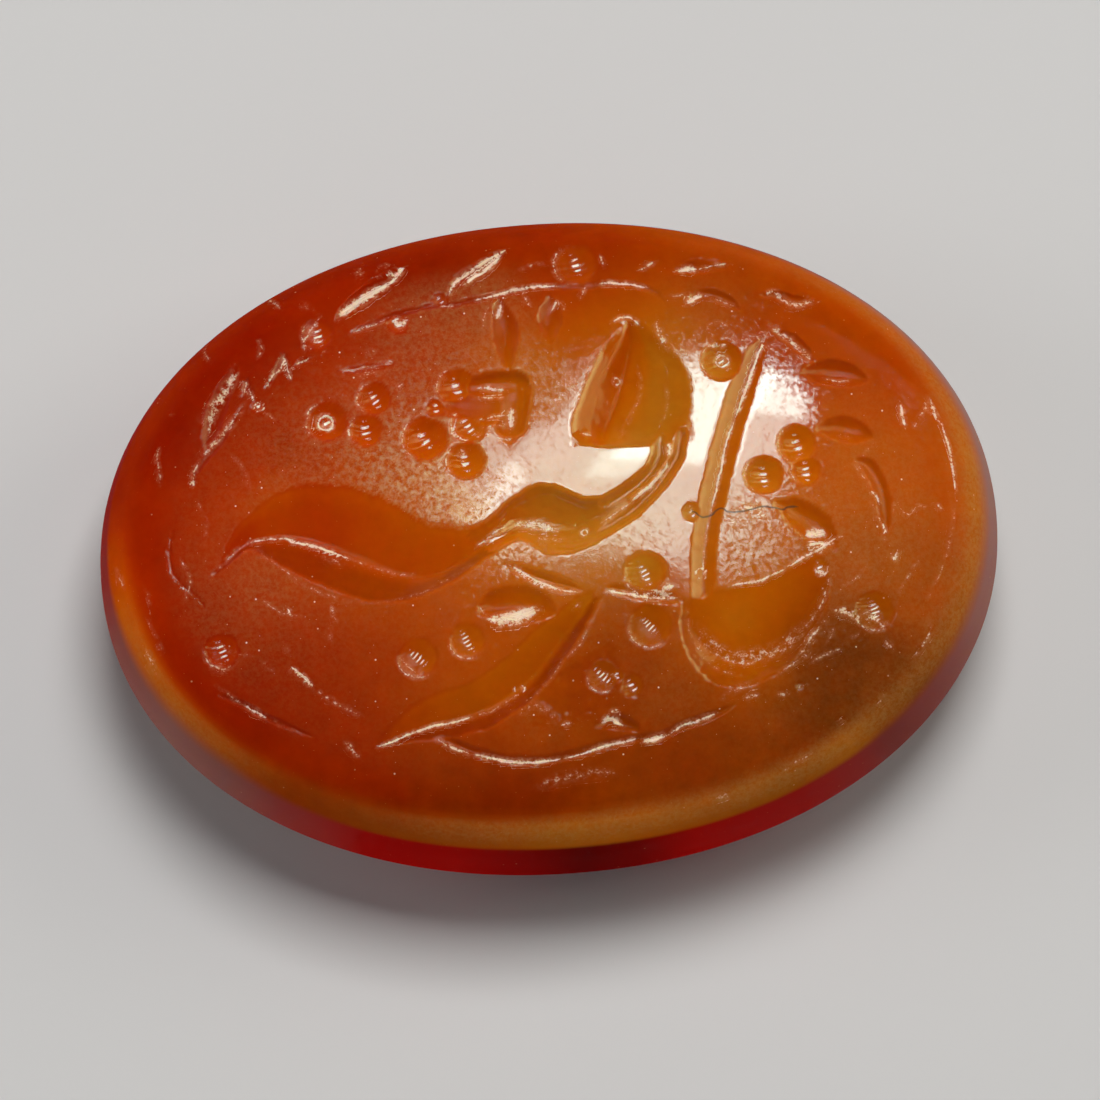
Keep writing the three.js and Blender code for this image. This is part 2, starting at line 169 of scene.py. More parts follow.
# Wheel cuts: each follows a path of (x, y, share of the wheel that bites). A wheel without a named
# section is round
wheelCuts = {
    "staff": {"width": 0.56, "depth": 0.14, "section": "vee", "shine": 0.5,
        "path": [(513, 535, 0.15), (491, 487, 0.6), (467, 419, 0.85), (446, 347, 0.95), (418, 239, 1),
                 (392, 130, 1), (369, 23, 1), (350, -68, 0.95), (339, -160, 0.95), (332, -257, 0.9)]},
    "innerChannel": {"width": 0.36, "depth": 0.15, "shine": 0.5,
        "path": [(267, 244, 0.7), (261, 204, 0.8), (257, 166, 0.85), (244, 133, 0.9), (222, 101, 1),
                 (192, 70, 1.05), (155, 39, 1.1), (119, 20, 1), (83, 10, 0.6)]},
    "outerChannel": {"width": 0.36, "depth": 0.16, "shine": 0.5,
        "path": [(311, 240, 0.6), (305, 200, 0.7), (297, 166, 0.75), (282, 133, 0.8), (264, 100, 0.85),
                 (243, 68, 0.9), (214, 33, 0.95), (184, 2, 1.05), (150, -25, 1.1), (115, -47, 1),
                 (81, -64, 0.6)]},
    "groundLine": {"width": 0.19, "depth": 0.08,
        "path": [(-295, -638, 0.2), (-249, -651, 1), (-211, -678, 1), (-172, -700, 1), (-134, -716, 1),
                 (-55, -730, 1), (23, -717, 1), (103, -695, 1), (170, -683, 1), (207, -683, 1),
                 (264, -656, 1), (338, -626, 0.9), (388, -599, 0.3)]},
    "branch": {"width": 0.17, "depth": 0.07,
        "path": [(-402, 635, 0.3), (-359, 653, 0.7), (-314, 675, 0.8), (-217, 698, 0.8), (-160, 699, 0.9),
                 (-68, 717, 0.8), (22, 734, 0.8), (110, 725, 0.8), (199, 729, 0.8), (243, 715, 0.8),
                 (275, 692, 0.7), (296, 657, 0.3)]},
    "leftBranch": {"width": 0.2, "depth": 0.07,
        "path": [(-652, 433, 0.3), (-703, 330, 0.7), (-761, 243, 0.7), (-774, 191, 0.4)]},
    "leftStem": {"width": 0.2, "depth": 0.05,
        "path": [(-817, 93, 0.2), (-834, 3, 0.5), (-833, -59, 0.5), (-813, -106, 0.4), (-779, -154, 0.4),
                 (-761, -199, 0.2)]},
    "lowGroove": {"width": 0.22, "depth": 0.08,
        "path": [(-745, -454, 0.3), (-703, -483, 0.7), (-650, -529, 0.7), (-607, -561, 0.6),
                 (-553, -599, 0.3)]},
    "bar": {"width": 0.24, "depth": 0.09, "shine": 0.5,
        "path": [(124, -229, 0.3), (161, -237, 1), (193, -252, 1), (225, -264, 1.2), (258, -270, 1),
                 (284, -283, 0.3)]},
    "thinLeaf": {"width": 0.24, "depth": 0.1, "shine": 0.5,
        "path": [(-99, -134, 0.2), (-67, -157, 0.8), (-24, -182, 1.1), (19, -205, 1), (68, -230, 0.2)]},
    "blockAcross": {"width": 0.72, "depth": 0.24, "section": "flat",
        "path": [(-135, 424, 0.8), (-104, 425, 0.95), (-71, 425, 1), (-38, 418, 0.9), (-23, 406, 0.4)]},
    "blockDown": {"width": 0.74, "depth": 0.24, "section": "flat",
        "path": [(-46, 433, 0.7), (-50, 394, 1), (-57, 343, 0.95), (-64, 302, 0.95), (-66, 280, 0.85),
                 (-68, 262, 0.4)]},
    "leafOne": {"width": 0.3, "depth": 0.13,
        "path": [(-432, 681, 0.2), (-408, 714, 0.9), (-373, 753, 1), (-336, 784, 1), (-304, 803, 0.9),
                 (-285, 829, 0.5), (-273, 840, 0.15)]},
    "leafTwo": {"width": 0.3, "depth": 0.12,
        "path": [(-190, 720, 0.15), (-166, 762, 0.6), (-135, 793, 0.9), (-103, 812, 1), (-76, 832, 0.9),
                 (-47, 863, 0.15)]},
    "leafThree": {"width": 0.3, "depth": 0.11,
        "path": [(321, 757, 0.2), (357, 766, 0.9), (392, 767, 1), (428, 770, 0.8), (459, 776, 0.2)]},
    "leafFour": {"width": 0.3, "depth": 0.11,
        "path": [(342, 650, 0.2), (374, 675, 0.8), (414, 666, 1), (443, 640, 0.8), (462, 620, 0.2)]},
    "leafFive": {"width": 0.26, "depth": 0.11,
        "path": [(507, 662, 0.2), (546, 658, 0.8), (586, 643, 0.8), (634, 641, 0.2)]},
    "leafSix": {"width": 0.3, "depth": 0.12,
        "path": [(532, 547, 0.2), (561, 525, 0.9), (588, 491, 1), (613, 448, 0.3)]},
    "almondOne": {"width": 0.66, "depth": 0.19,
        "path": [(588, 404, 0.1), (615, 406, 0.7), (652, 402, 1), (687, 393, 0.9), (718, 379, 0.5),
                 (730, 370, 0.1)]},
    "almondTwo": {"width": 0.62, "depth": 0.18,
        "path": [(607, 222, 0.1), (634, 227, 0.7), (667, 223, 1), (700, 211, 0.9), (721, 198, 0.5),
                 (734, 189, 0.1)]},
    "crescent": {"width": 0.36, "depth": 0.13,
        "path": [(688, 123, 0.2), (716, 105, 0.9), (735, 54, 1), (745, -3, 1), (747, -59, 0.8),
                 (746, -104, 0.2)]},
    "leafRecess": {"width": 0.72, "depth": 0.18,
        "path": [(511, 1, 0.2), (541, -20, 0.8), (570, -49, 1), (599, -85, 1), (623, -126, 0.5),
                 (631, -153, 0.1)]},
    "dropOne": {"width": 0.62, "depth": 0.16,
        "path": [(-70, 707, 0.2), (-68, 663, 0.7), (-62, 605, 1), (-61, 539, 0.8), (-60, 471, 0.2)]},
    "dropTwo": {"width": 0.6, "depth": 0.12,
        "path": [(42, 695, 0.3), (40, 652, 0.9), (38, 606, 0.9), (36, 559, 0.3)]},
    "leftLeaf": {"width": 0.5, "depth": 0.12,
        "path": [(-662, 560, 0.2), (-687, 495, 0.7), (-711, 422, 0.9), (-729, 347, 0.7), (-738, 296, 0.2)]},
    "midLeaf": {"width": 0.8, "depth": 0.2, "shine": 0.15,
        "path": [(-165, -274, 0.1), (-134, -258, 0.8), (-94, -254, 1), (-50, -262, 1), (-16, -277, 0.7),
                 (6, -294, 0.1)]},
    "shortLeaf": {"width": 0.36, "depth": 0.12,
        "path": [(75, -640, 0.2), (102, -632, 0.8), (129, -631, 1), (159, -649, 0.7), (171, -664, 0.2)]},
    "veeMark": {"width": 0.14, "depth": 0.05,
        "path": [(-599, 480, 0.5), (-571, 542, 1), (-556, 584, 0.8), (-549, 545, 1), (-542, 498, 0.5)]},
    "smallVeeMark": {"width": 0.14, "depth": 0.05,
        "path": [(-651, 455, 0.5), (-640, 508, 1), (-627, 449, 0.5)]},
    "dash": {"width": 0.14, "depth": 0.05,
        "path": [(-529, 545, 0.5), (-513, 556, 1), (-495, 566, 0.5)]},
    "scrape": {"width": 0.2, "depth": 0.03,
        "path": [(-437, 516, 0.4), (-406, 509, 0.8), (-370, 515, 1), (-317, 520, 0.8)]},
    "blockInside": {"width": 0.86, "depth": 0.18, "section": "flat", "shine": 0.1,
        "path": [(-175, 375, 0.8), (-150, 365, 1), (-110, 360, 1), (-85, 360, 0.8)]},
    "hollowBesideLowerBlade": {"width": 1.2, "depth": 0.02, "section": "flat", "marks": 0, "shine": 0.3,
        "sparkle": 0.3,
        "path": [(-35, -611, 0.3), (0, -569, 0.9), (46, -528, 1), (93, -479, 0.9), (123, -417, 0.4)]},
}

# Ball-drilled pits: (x, y, radius, depth)
pits = [
    (-468, 356, 0.47, 0.2), (-361, 416, 0.38, 0.17), (-384, 316, 0.38, 0.16), (-255, 275, 0.51, 0.22),
    (-177, 429, 0.45, 0.2), (-158, 306, 0.4, 0.18), (-170, 196, 0.42, 0.19), (412, 458, 0.45, 0.19),
    (485, 89, 0.42, 0.2), (563, 183, 0.42, 0.2), (578, 98, 0.33, 0.16), (-304, -395, 0.45, 0.13),
    (-194, -356, 0.4, 0.13), (-734, -320, 0.4, 0.12), (210, -350, 0.49, 0.15), (207, -192, 0.45, 0.12),
    (99, -491, 0.36, 0.12), (130, -494, 0.18, 0.06), (161, -526, 0.27, 0.09), (105, 799, 0.49, 0.12),
    (-297, 650, 0.27, 0.09), (-476, 634, 0.36, 0.1), (707, -342, 0.45, 0.13), (593, -206, 0.22, 0.08),
    (320, -14, 0.2, 0.07), (-619, 424, 0.16, 0.06), (-83, -506, 0.13, 0.04), (332, -202, 0.16, 0.05),
    (530, -556, 0.11, 0.03), (-226, 367, 0.22, 0.07), (-201, 714, 0.2, 0.06),
]

# Pale strokes: frosting left by the wheel's edge, and painted highlights along valleys, ridges and the
# hump: (width, strength, path)
frostAndHighlightStrokes = [
    (0.12, 0.6, [(527, -481), (559, -423), (588, -370)]),
    (0.08, 0.5, [(555, -489), (592, -470), (630, -452)]),
    (0.1, 0.55, [(481, -523), (518, -489), (561, -459)]), (0.16, 0.7, [(411, -583), (436, -579)]),
    (0.12, 0.6, [(522, -564), (545, -554)]), (0.1, 0.55, [(477, -582), (508, -578)]),
    (0.12, 0.65, [(325, -870), (359, -863)]), (0.22, 0.7, [(614, -336), (647, -344), (675, -364)]),
    (0.1, 0.6, [(783, -486), (800, -460), (819, -428), (830, -387)]),
    (0.1, 0.65, [(726, -433), (738, -458)]), (0.08, 0.6, [(605, -671), (621, -654)]),
    (0.08, 0.6, [(698, -620), (713, -601)]), (0.06, 0.5, [(472, -808), (506, -782), (548, -755)]),
    (0.1, 0.9, [(-585, -391), (-562, -418), (-539, -454)]),
    (0.12, 0.55, [(-487, -215), (-484, -243), (-479, -274)]),
    (0.06, 0.5, [(-496, -293), (-494, -312), (-493, -330)]),
    (0.1, 0.5, [(-648, -368), (-635, -381), (-625, -398)]),
    (0.1, 0.5, [(-535, -467), (-504, -498), (-470, -529), (-436, -557)]),
    (0.14, 0.85, [(-698, -488), (-671, -512), (-643, -537)]),
    (0.08, 0.9, [(-585, -215), (-581, -224), (-577, -237)]),
    (0.07, 0.6, [(-348, -384), (-329, -416), (-307, -449)]),
    (0.08, 0.45, [(-597, -320), (-593, -332), (-587, -348)]),
    (0.04, 0.42, [(538, -479), (562, -438), (591, -392)]),
    (0.04, 0.42, [(588, -458), (603, -423), (618, -381)]),
    (0.04, 0.4, [(640, -428), (679, -403), (718, -376)]),
    (0.04, 0.4, [(608, -414), (599, -380), (587, -343)]),
    (0.05, 0.45, [(714, -4), (733, -67), (742, -145)]), (0.05, 0.4, [(693, 90), (714, 146), (742, 182)]),
    (0.05, 0.45, [(638, -261), (670, -242), (694, -207)]),
    (0.04, 0.4, [(583, -181), (609, -146), (637, -126)]),
    (0.05, 0.45, [(368, 559), (405, 582), (435, 566)]),
    (0.05, 0.4, [(-683, 278), (-659, 227), (-649, 162)]), (0.05, 0.4, [(-769, 148), (-750, 83), (-758, 6)]),
    (0.05, 0.45, [(-638, -180), (-601, -222), (-557, -240)]),
    (0.06, 0.5, [(-813, -32), (-794, -90), (-806, -156)]),
    (0.05, 0.45, [(-748, -287), (-712, -329), (-673, -343)]),
    (0.34, 0.5, [(305, -379), (343, -422), (392, -447), (452, -445), (504, -419), (540, -367)]),
    (0.06, 0.45, [(224, 468), (230, 416), (223, 365), (205, 310), (184, 261), (165, 219)]),
    (0.05, 0.4, [(282, 392), (287, 353), (280, 309), (272, 279)]),
    (0.05, 0.32, [(150, 366), (153, 340), (152, 315)]), (0.05, 0.3, [(176, 440), (171, 421)]),
    (0.06, 0.5, [(381, -37), (405, -45), (429, -44)]), (0.05, 0.5, [(402, -57), (428, -65), (450, -61)]),
    (0.06, 0.5, [(64, 685), (75, 644)]), (0.12, 0.55, [(-15, 706), (-3, 676)]),
    (0.1, 0.6, [(280, 789), (246, 766)]), (0.05, 0.5, [(-15, 799), (15, 809), (44, 812)]),
    (0.06, 0.55, [(275, 606), (282, 560), (293, 517), (320, 485), (351, 495)]),
    (0.05, 0.4, [(365, 494), (392, 511), (424, 528)]), (0.06, 0.5, [(473, 537), (499, 516), (519, 476)]),
    (0.3, 1.1, [(-427, 690), (-408, 710), (-373, 739), (-341, 764), (-311, 784)]),
    (0.18, 1, [(-316, 777), (-295, 805), (-276, 832)]),
    (0.07, 0.35, [(-373, 855), (-381, 828), (-378, 789)]),
    (0.07, 0.35, [(-338, 824), (-324, 844), (-305, 823)]),
    (0.09, 0.55, [(-405, 631), (-378, 644), (-350, 654), (-312, 675)]),
    (0.2, 1, [(-310, 665), (-295, 650), (-275, 661)]),
    (0.13, 0.9, [(-185, 722), (-170, 760), (-142, 793), (-112, 819), (-77, 845), (-45, 865)]),
    (0.17, 1.1, [(-143, 760), (-120, 784), (-95, 804), (-62, 844)]),
    (0.09, 0.6, [(-220, 697), (-188, 696), (-160, 696)]),
    (0.1, 0.95, [(-123, 708), (-72, 719), (-34, 731), (13, 736), (64, 734)]),
    (0.11, 0.95, [(151, 732), (202, 727), (256, 709)]), (0.11, 0.9, [(-67, 692), (-72, 667), (-80, 638)]),
    (0.07, 0.5, [(-91, 685), (-107, 644), (-109, 599)]), (0.08, 0.8, [(58, 689), (45, 657)]),
    (0.08, 0.7, [(122, 725), (109, 687)]), (0.11, 0.7, [(158, 824), (167, 787)]),
    (0.06, 0.4, [(-24, 796), (3, 803), (30, 811)]),
    (0.09, 0.85, [(177, 602), (194, 616), (216, 614), (237, 586)]),
    (0.22, 1, [(330, 758), (348, 760), (370, 761)]), (0.07, 0.7, [(370, 761), (406, 768), (444, 772)]),
    (0.16, 1, [(344, 649), (363, 667), (379, 675)]), (0.08, 0.65, [(379, 675), (413, 656), (454, 630)]),
    (0.07, 0.5, [(303, 675), (330, 676), (361, 680)]),
    (0.09, 0.6, [(273, 603), (277, 557), (288, 517), (311, 492)]),
    (0.11, 0.8, [(379, 512), (405, 507), (428, 512)]),
    (0.08, 0.7, [(-466, 695), (-493, 653), (-508, 619), (-507, 589)]),
    (0.13, 0.8, [(-479, 621), (-472, 614)]), (0.09, 0.5, [(-467, 587), (-460, 580)]),
    (0.1, 0.8, [(-529, 547), (-513, 555), (-497, 565)]), (0.08, 0.7, [(-311, 441), (-298, 453)]),
    (0.16, 0.55, [(-372, 565), (-352, 569)]),
    (0.09, 0.8, [(-556, 580), (-562, 545), (-586, 513), (-598, 482)]),
    (0.07, 0.85, [(-554, 573), (-549, 537), (-542, 500)]),
    (0.3, 0.72, [(-664, 553), (-672, 519), (-699, 468), (-721, 423), (-731, 364)]),
    (0.2, 0.55, [(-649, 435), (-679, 379), (-709, 339), (-740, 295), (-760, 263)]),
    (0.09, 0.65, [(-760, 263), (-770, 233), (-773, 206)]), (0.13, 0.95, [(-773, 212), (-772, 196)]),
    (0.09, 0.7, [(-642, 508), (-648, 467)]), (0.07, 0.8, [(-640, 495), (-627, 442)]),
    (0.07, 0.5, [(-606, 407), (-594, 386), (-579, 368)]),
    (0.09, 0.5, [(-841, 330), (-850, 293), (-847, 248), (-847, 207)]),
    (0.11, 0.4, [(-812, 436), (-811, 422)]),
    (0.09, 0.8, [(-184, 334), (-190, 287), (-174, 266), (-156, 258)]),
    (0.2, 0.75, [(-177, 235), (-174, 209)]), (0.13, 0.85, [(-135, 427), (-104, 424), (-71, 414)]),
    (0.07, 0.7, [(-136, 399), (-105, 392), (-74, 392)]), (0.2, 0.95, [(-59, 355), (-62, 324), (-66, 292)]),
    (0.09, 0.7, [(-96, 261), (-77, 252), (-59, 257)]), (0.09, 0.6, [(-147, 266), (-129, 271), (-111, 275)]),
    (0.2, 0.62, [(516, 664), (538, 669), (557, 645), (576, 627), (603, 629), (630, 634)]),
    (0.2, 0.7, [(525, 556), (544, 539), (563, 515), (590, 474), (612, 444)]),
    (0.09, 0.95, [(-92, -135), (-67, -156), (-39, -184), (-12, -205), (14, -222), (59, -236)]),
    (0.07, 0.6, [(-84, -148), (-51, -189), (-15, -217), (18, -232)]),
    (0.11, 0.95, [(119, -236), (143, -244), (169, -252), (203, -262), (238, -268), (276, -271)]),
    (0.27, 0.95, [(235, -258), (253, -242), (267, -237)]),
    (0.42, 1, [(-143, -294), (-119, -302), (-92, -298), (-65, -288), (-34, -272)]),
    (0.07, 0.9, [(-135, 325), (-100, 330), (-70, 335)]),
    (0.07, 0.6, [(-130, 295), (-100, 300), (-75, 300)]),
    (0.07, 0.6, [(-160, -256), (-152, -276), (-140, -298)]),
    (0.09, 0.95, [(-406, -653), (-379, -641), (-343, -624), (-311, -610), (-266, -597), (-239, -594),
                  (-190, -578)]), (0.08, 0.5, [(-190, -578), (-154, -567), (-120, -547), (-81, -515)]),
    (0.06, 0.45, [(86, -324), (51, -396), (9, -446), (-25, -503), (-84, -575)]),
    (0.09, 0.7, [(44, -283), (58, -269)]),
    (0.22, 0.38, [(-92, -595), (-73, -573), (-51, -569), (-23, -592), (-3, -627)]),
    (0.11, 0.75, [(1, -633), (17, -626)]), (0.16, 1, [(89, -630), (110, -620), (133, -640)]),
    (0.07, 0.6, [(95, -613), (115, -600), (135, -593)]),
    (0.09, 0.75, [(-275, -641), (-252, -664), (-231, -681), (-201, -696)]),
    (0.11, 1, [(-201, -696), (-168, -708), (-134, -721), (-92, -731), (-37, -733), (-2, -728)]),
    (0.1, 0.9, [(-2, -728), (34, -720), (72, -706), (108, -697), (170, -682)]),
    (0.18, 0.95, [(176, -697), (203, -688), (230, -678)]),
    (0.09, 0.8, [(232, -681), (264, -655), (305, -640), (343, -625)]),
    (0.27, 0.42, [(-66, -810), (-34, -796), (-1, -784), (61, -778), (112, -783)]),
    (0.09, 0.95, [(392, -247), (419, -240), (450, -236), (486, -220), (518, -201)]),
    (0.09, 0.9, [(518, -201), (557, -170), (589, -154), (619, -125), (642, -114)]),
    (0.31, 1, [(565, -103), (588, -95), (610, -91)]), (0.11, 0.9, [(566, -134), (592, -129), (617, -125)]),
    (0.18, 0.85, [(581, -209), (596, -219), (612, -220)]),
    (0.27, 0.52, [(318, -350), (336, -385), (365, -424), (403, -448), (442, -460), (492, -442), (531, -409),
                  (562, -363)]), (0.13, 0.6, [(355, -444), (391, -468), (435, -474)]),
    (0.06, 0.4, [(297, -282), (295, -358), (316, -435), (357, -492), (410, -514)]),
    (0.07, 0.6, [(612, -183), (610, -244), (591, -310), (562, -369)]),
    # A painted highlight line along the staff's valley
    (0.08, 1.3, [(513, 528), (484, 446), (457, 356), (430, 272)]),
    (0.08, 1.1, [(430, 272), (406, 192), (386, 93), (362, -11)]),
    (0.06, 0.5, [(357, -32), (346, -102), (339, -163), (332, -248)]),
    (0.2, 0.5, [(313, 24), (319, 2), (320, -23)]), (0.16, 0.85, [(433, -4), (453, -12), (475, -10)]),
    (0.09, 0.7, [(441, -32), (462, -40), (483, -32)]),
    (0.09, 0.85, [(754, -198), (762, -177), (768, -156)]),
    (0.13, 0.7, [(688, -356), (707, -369), (728, -394)]),
    (0.09, 0.6, [(678, -349), (696, -344), (717, -360)]), (0.07, 0.7, [(638, 388), (664, 376), (691, 378)]),
    (0.09, 0.5, [(659, 205), (681, 204)]), (0.07, 0.45, [(683, 113), (701, 77), (715, 46), (728, 4)]),
    (0.09, 0.8, [(720, 27), (730, 4), (735, -21)]), (0.08, 0.8, [(727, -51), (737, -77), (746, -105)]),
    (0.18, 0.7, [(226, -245), (246, -259), (262, -273)]),
    (0.13, 0.6, [(104, -482), (127, -493), (146, -522)]), (0.11, 0.6, [(-759, -377), (-733, -383)]),
    (0.08, 0.8, [(-665, 3), (-629, 10), (-587, 11), (-545, -1)]),
    (0.1, 0.95, [(-576, 3), (-541, -11), (-504, -25), (-468, -48), (-440, -67)]),
    (0.06, 0.5, [(-440, -67), (-408, -90), (-378, -106), (-330, -130), (-286, -129)]),
    (0.07, 0.5, [(-750, -97), (-726, -63), (-698, -27), (-665, 0)]),
    (0.06, 0.42, [(-644, -19), (-615, -60), (-573, -109), (-535, -151), (-492, -184), (-449, -208),
                  (-410, -219)]),
    (0.06, 0.35, [(-410, -219), (-370, -220), (-335, -215), (-294, -202), (-260, -184), (-210, -153),
                  (-162, -119)]), (0.2, 0.4, [(-508, -53), (-478, -69), (-443, -86)]),
    (0.27, 0.8, [(-72, -8), (-41, -8), (-9, -14), (19, -33)]),
    (0.16, 0.6, [(-26, -50), (5, -59), (33, -62)]),
    (0.07, 0.8, [(-159, -70), (-136, -50), (-113, -28), (-88, -12)]),
    (0.09, 1.1, [(276, 152), (266, 122), (244, 92), (216, 61), (186, 29)]),
    (0.18, 0.9, [(281, 205), (280, 183), (277, 165)]), (0.08, 0.7, [(186, 29), (153, 1), (121, -21)]),
    (0.07, 0.7, [(93, 254), (113, 249)]),
    (0.07, 0.45, [(161, 545), (134, 483), (111, 427), (88, 359), (70, 281)]),
    (0.31, 0.42, [(41, 409), (64, 413), (83, 392)]), (0.16, 0.4, [(33, 365), (61, 362)]),
    (0.09, 0.45, [(-755, -423), (-719, -464), (-671, -509), (-628, -551), (-575, -597)]),
    (0.16, 0.5, [(-478, -629), (-463, -655), (-447, -681)]),
    (0.07, 0.4, [(-591, -393), (-567, -433), (-533, -467)]),
    (0.18, 0.4, [(351, -587), (386, -560), (442, -535)]), (0.11, 0.4, [(155, -336), (172, -307)]),
    (0.09, 0.75, [(865, 309), (879, 254), (893, 187), (901, 124), (904, 55), (904, -14)]),
    (0.08, 0.4, [(904, -14), (896, -76), (881, -152), (859, -234), (825, -318)]),
    (0.12, 0.9, [(799, 292), (802, 254), (804, 222)]), (0.07, 0.55, [(824, 215), (842, 255), (857, 289)]),
    (0.09, 0.8, [(862, 302), (867, 270), (876, 232)]),
    (0.05, 0.6, [(763, -47), (774, -11), (783, -39), (802, -53), (817, -29), (843, -33)]),
    (0.1, 0.6, [(859, -28), (872, -38)]), (0.05, 0.5, [(762, -299), (778, -260), (798, -219), (817, -183)]),
    (0.08, 0.5, [(-960, -20), (-952, -50), (-942, -88)]),
    (0.06, 0.4, [(-893, -107), (-887, -163), (-890, -223), (-870, -281), (-863, -318)]),
    (0.15, 0.5, [(-905, -282), (-893, -325), (-882, -363)]),
    (0.07, 0.5, [(-368, 863), (-372, 823), (-378, 789)]),
    (0.05, 0.45, [(-324, 855), (-306, 840), (-312, 813)]), (0.22, 0.42, [(-511, 745), (-487, 724)]),
    (0.05, 0.45, [(-436, 525), (-411, 502), (-366, 513), (-329, 531), (-312, 522)]),
    (0.05, 0.4, [(-432, 511), (-407, 489), (-362, 496), (-322, 507)]),
    (0.06, 0.5, [(-724, 696), (-730, 628), (-719, 583)]),
    (0.06, 0.5, [(-609, 643), (-602, 609), (-614, 578)]), (0.1, 0.6, [(-583, 792), (-556, 737)]),
    (0.14, 0.85, [(-488, 619), (-472, 620)]),
]

# Hair cracks: (width, strength, path)
cracks = [
    (0.05, 1, [(325, -11), (342, -28), (362, -23), (376, -9), (389, -7), (404, -20), (446, -17), (473, -7),
               (497, -12), (521, -20), (530, -11), (548, -9)]),
]

# Small rings stamped by a tube drill: (x, y, radius, width, strength)
drillRings = [
    (-472, 356, 0.17, 0.07, 1), (413, 460, 0.14, 0.06, 0.75), (332, -202, 0.12, 0.06, 0.95),
    (-86, -506, 0.11, 0.06, 0.85), (176, 424, 0.07, 0.05, 0.75), (-617, 422, 0.11, 0.06, 0.85),
    (80, -48, 0.07, 0.05, 0.85),
]

# How the stone changes over the face: (x, y, reach, warmth from red to honey, lightness)
colourZones = [
    (-0.93, 0.1, 0.2, 0.12, 1), (-0.86, 0.43, 0.12, -0.1, 0.7), (-0.8, 0.35, 0.2, 0.08, 0.95),
    (-0.7, 0.6, 0.2, 0.02, 0.85), (-0.55, 0.62, 0.25, 0.1, 0.9), (-0.55, 0.05, 0.2, 0.42, 1.05),
    (-0.75, -0.35, 0.25, 0.12, 0.88), (-0.3, 0, 0.2, 0.6, 1.03), (-0.35, 0.5, 0.2, 0.28, 1),
    (-0.13, 0.88, 0.2, 0.05, 0.62), (0.05, 0.7, 0.2, 0.55, 0.9), (0, 0.45, 0.15, 0.8, 1),
    (0.1, 0.92, 0.16, 0.2, 0.68), (0.25, 0.42, 0.14, 1, 1), (0.05, -0.02, 0.15, 0.95, 1.1),
    (0.4, 0.1, 0.16, 0.85, 1), (0.45, 0.8, 0.2, 0.5, 0.74), (0.7, 0.5, 0.2, 0.45, 0.86),
    (0.85, 0.15, 0.15, 0.55, 0.98), (0.6, 0.1, 0.16, 0.62, 1.05), (0.42, -0.38, 0.14, 0.82, 1.02),
    (0.6, -0.5, 0.13, 0.5, 0.25), (0.82, -0.25, 0.1, 0.6, 0.75), (0.7, -0.2, 0.12, 0.6, 0.75),
    (-0.15, -0.5, 0.16, 0.7, 0.98), (0.12, -0.55, 0.18, 0.5, 0.66), (-0.4, -0.45, 0.2, 0.38, 0.82),
    (-0.6, -0.65, 0.25, 0.15, 0.7), (-0.2, -0.85, 0.2, 0.3, 0.45), (0.3, -0.8, 0.2, 0.5, 0.5),
    (0.72, -0.6, 0.1, 0.6, 0.45), (-0.95, -0.12, 0.08, 0.35, 1.2), (-0.87, -0.38, 0.1, 0.1, 1),
    (-0.6, 0.1, 0.05, 0.55, 1.05), (-0.5, 0, 0.06, 0.28, 1.12),
]

# Where the polish is whole, and where dust and fine scratches dull it and a painted pale sheen lies on it:
# (x, y, reach, polish, film of dust and painted sheen)
wearAndSheenZones = [
    (0.42, 0.35, 0.18, 1, 0), (0.25, 0.25, 0.15, 1, 0), (0.12, 0.15, 0.1, 0.95, 0),
    (-0.03, 0.2, 0.08, 0.85, 0.15), (-0.15, 0.12, 0.08, 0.68, 0.45), (-0.28, 0.16, 0.1, 0.45, 0.7),
    (-0.45, 0.22, 0.15, 0.2, 0.35), (-0.7, 0.2, 0.15, 0, 0.12), (-0.2, 0.58, 0.12, 0.2, 0.35),
    (0, 0.38, 0.07, 0.3, 0.4), (0.25, -0.02, 0.1, 0.85, 0.1), (0.42, -0.08, 0.08, 0.5, 0.35),
    (0.5, -0.1, 0.1, 0.4, 0.4), (0.55, 0.3, 0.06, 0.9, 0.05), (0.7, 0.3, 0.1, -0.3, 0.15),
    (0.72, 0.05, 0.15, -0.2, 0.24), (0.68, -0.18, 0.1, 0, 0.38), (-0.1, -0.02, 0.08, 0.6, 0.45),
    (-0.3, -0.3, 0.2, 0.1, 0.1), (0.15, -0.3, 0.15, 0.4, 0.12), (0, -0.75, 0.25, 0.1, 0.03),
    (-0.6, -0.15, 0.15, 0.1, 0.2), (0.3, 0.75, 0.2, -0.25, 0.02), (0.7, -0.5, 0.2, 0.1, 0.1),
    (0.62, 0.6, 0.15, -0.3, 0.02), (-0.6, 0.65, 0.2, 0.1, 0.02), (-0.5, -0.6, 0.2, 0.1, 0.05),
    (0.1, -0.1, 0.1, 0.6, 0.3), (-0.04, -0.62, 0.06, 0.1, 0.16), (0.24, -0.56, 0.06, 0.1, 0.16),
    (0.4, 0.62, 0.09, -0.1, 0.25), (-0.636, -0.134, 0.05, 0.1, 0.4), (-0.58, -0.12, 0.05, 0.1, 0.3),
    (0.85, 0.3, 0.12, -0.3, 0.08), (-0.88, 0.3, 0.15, 0, 0),
]
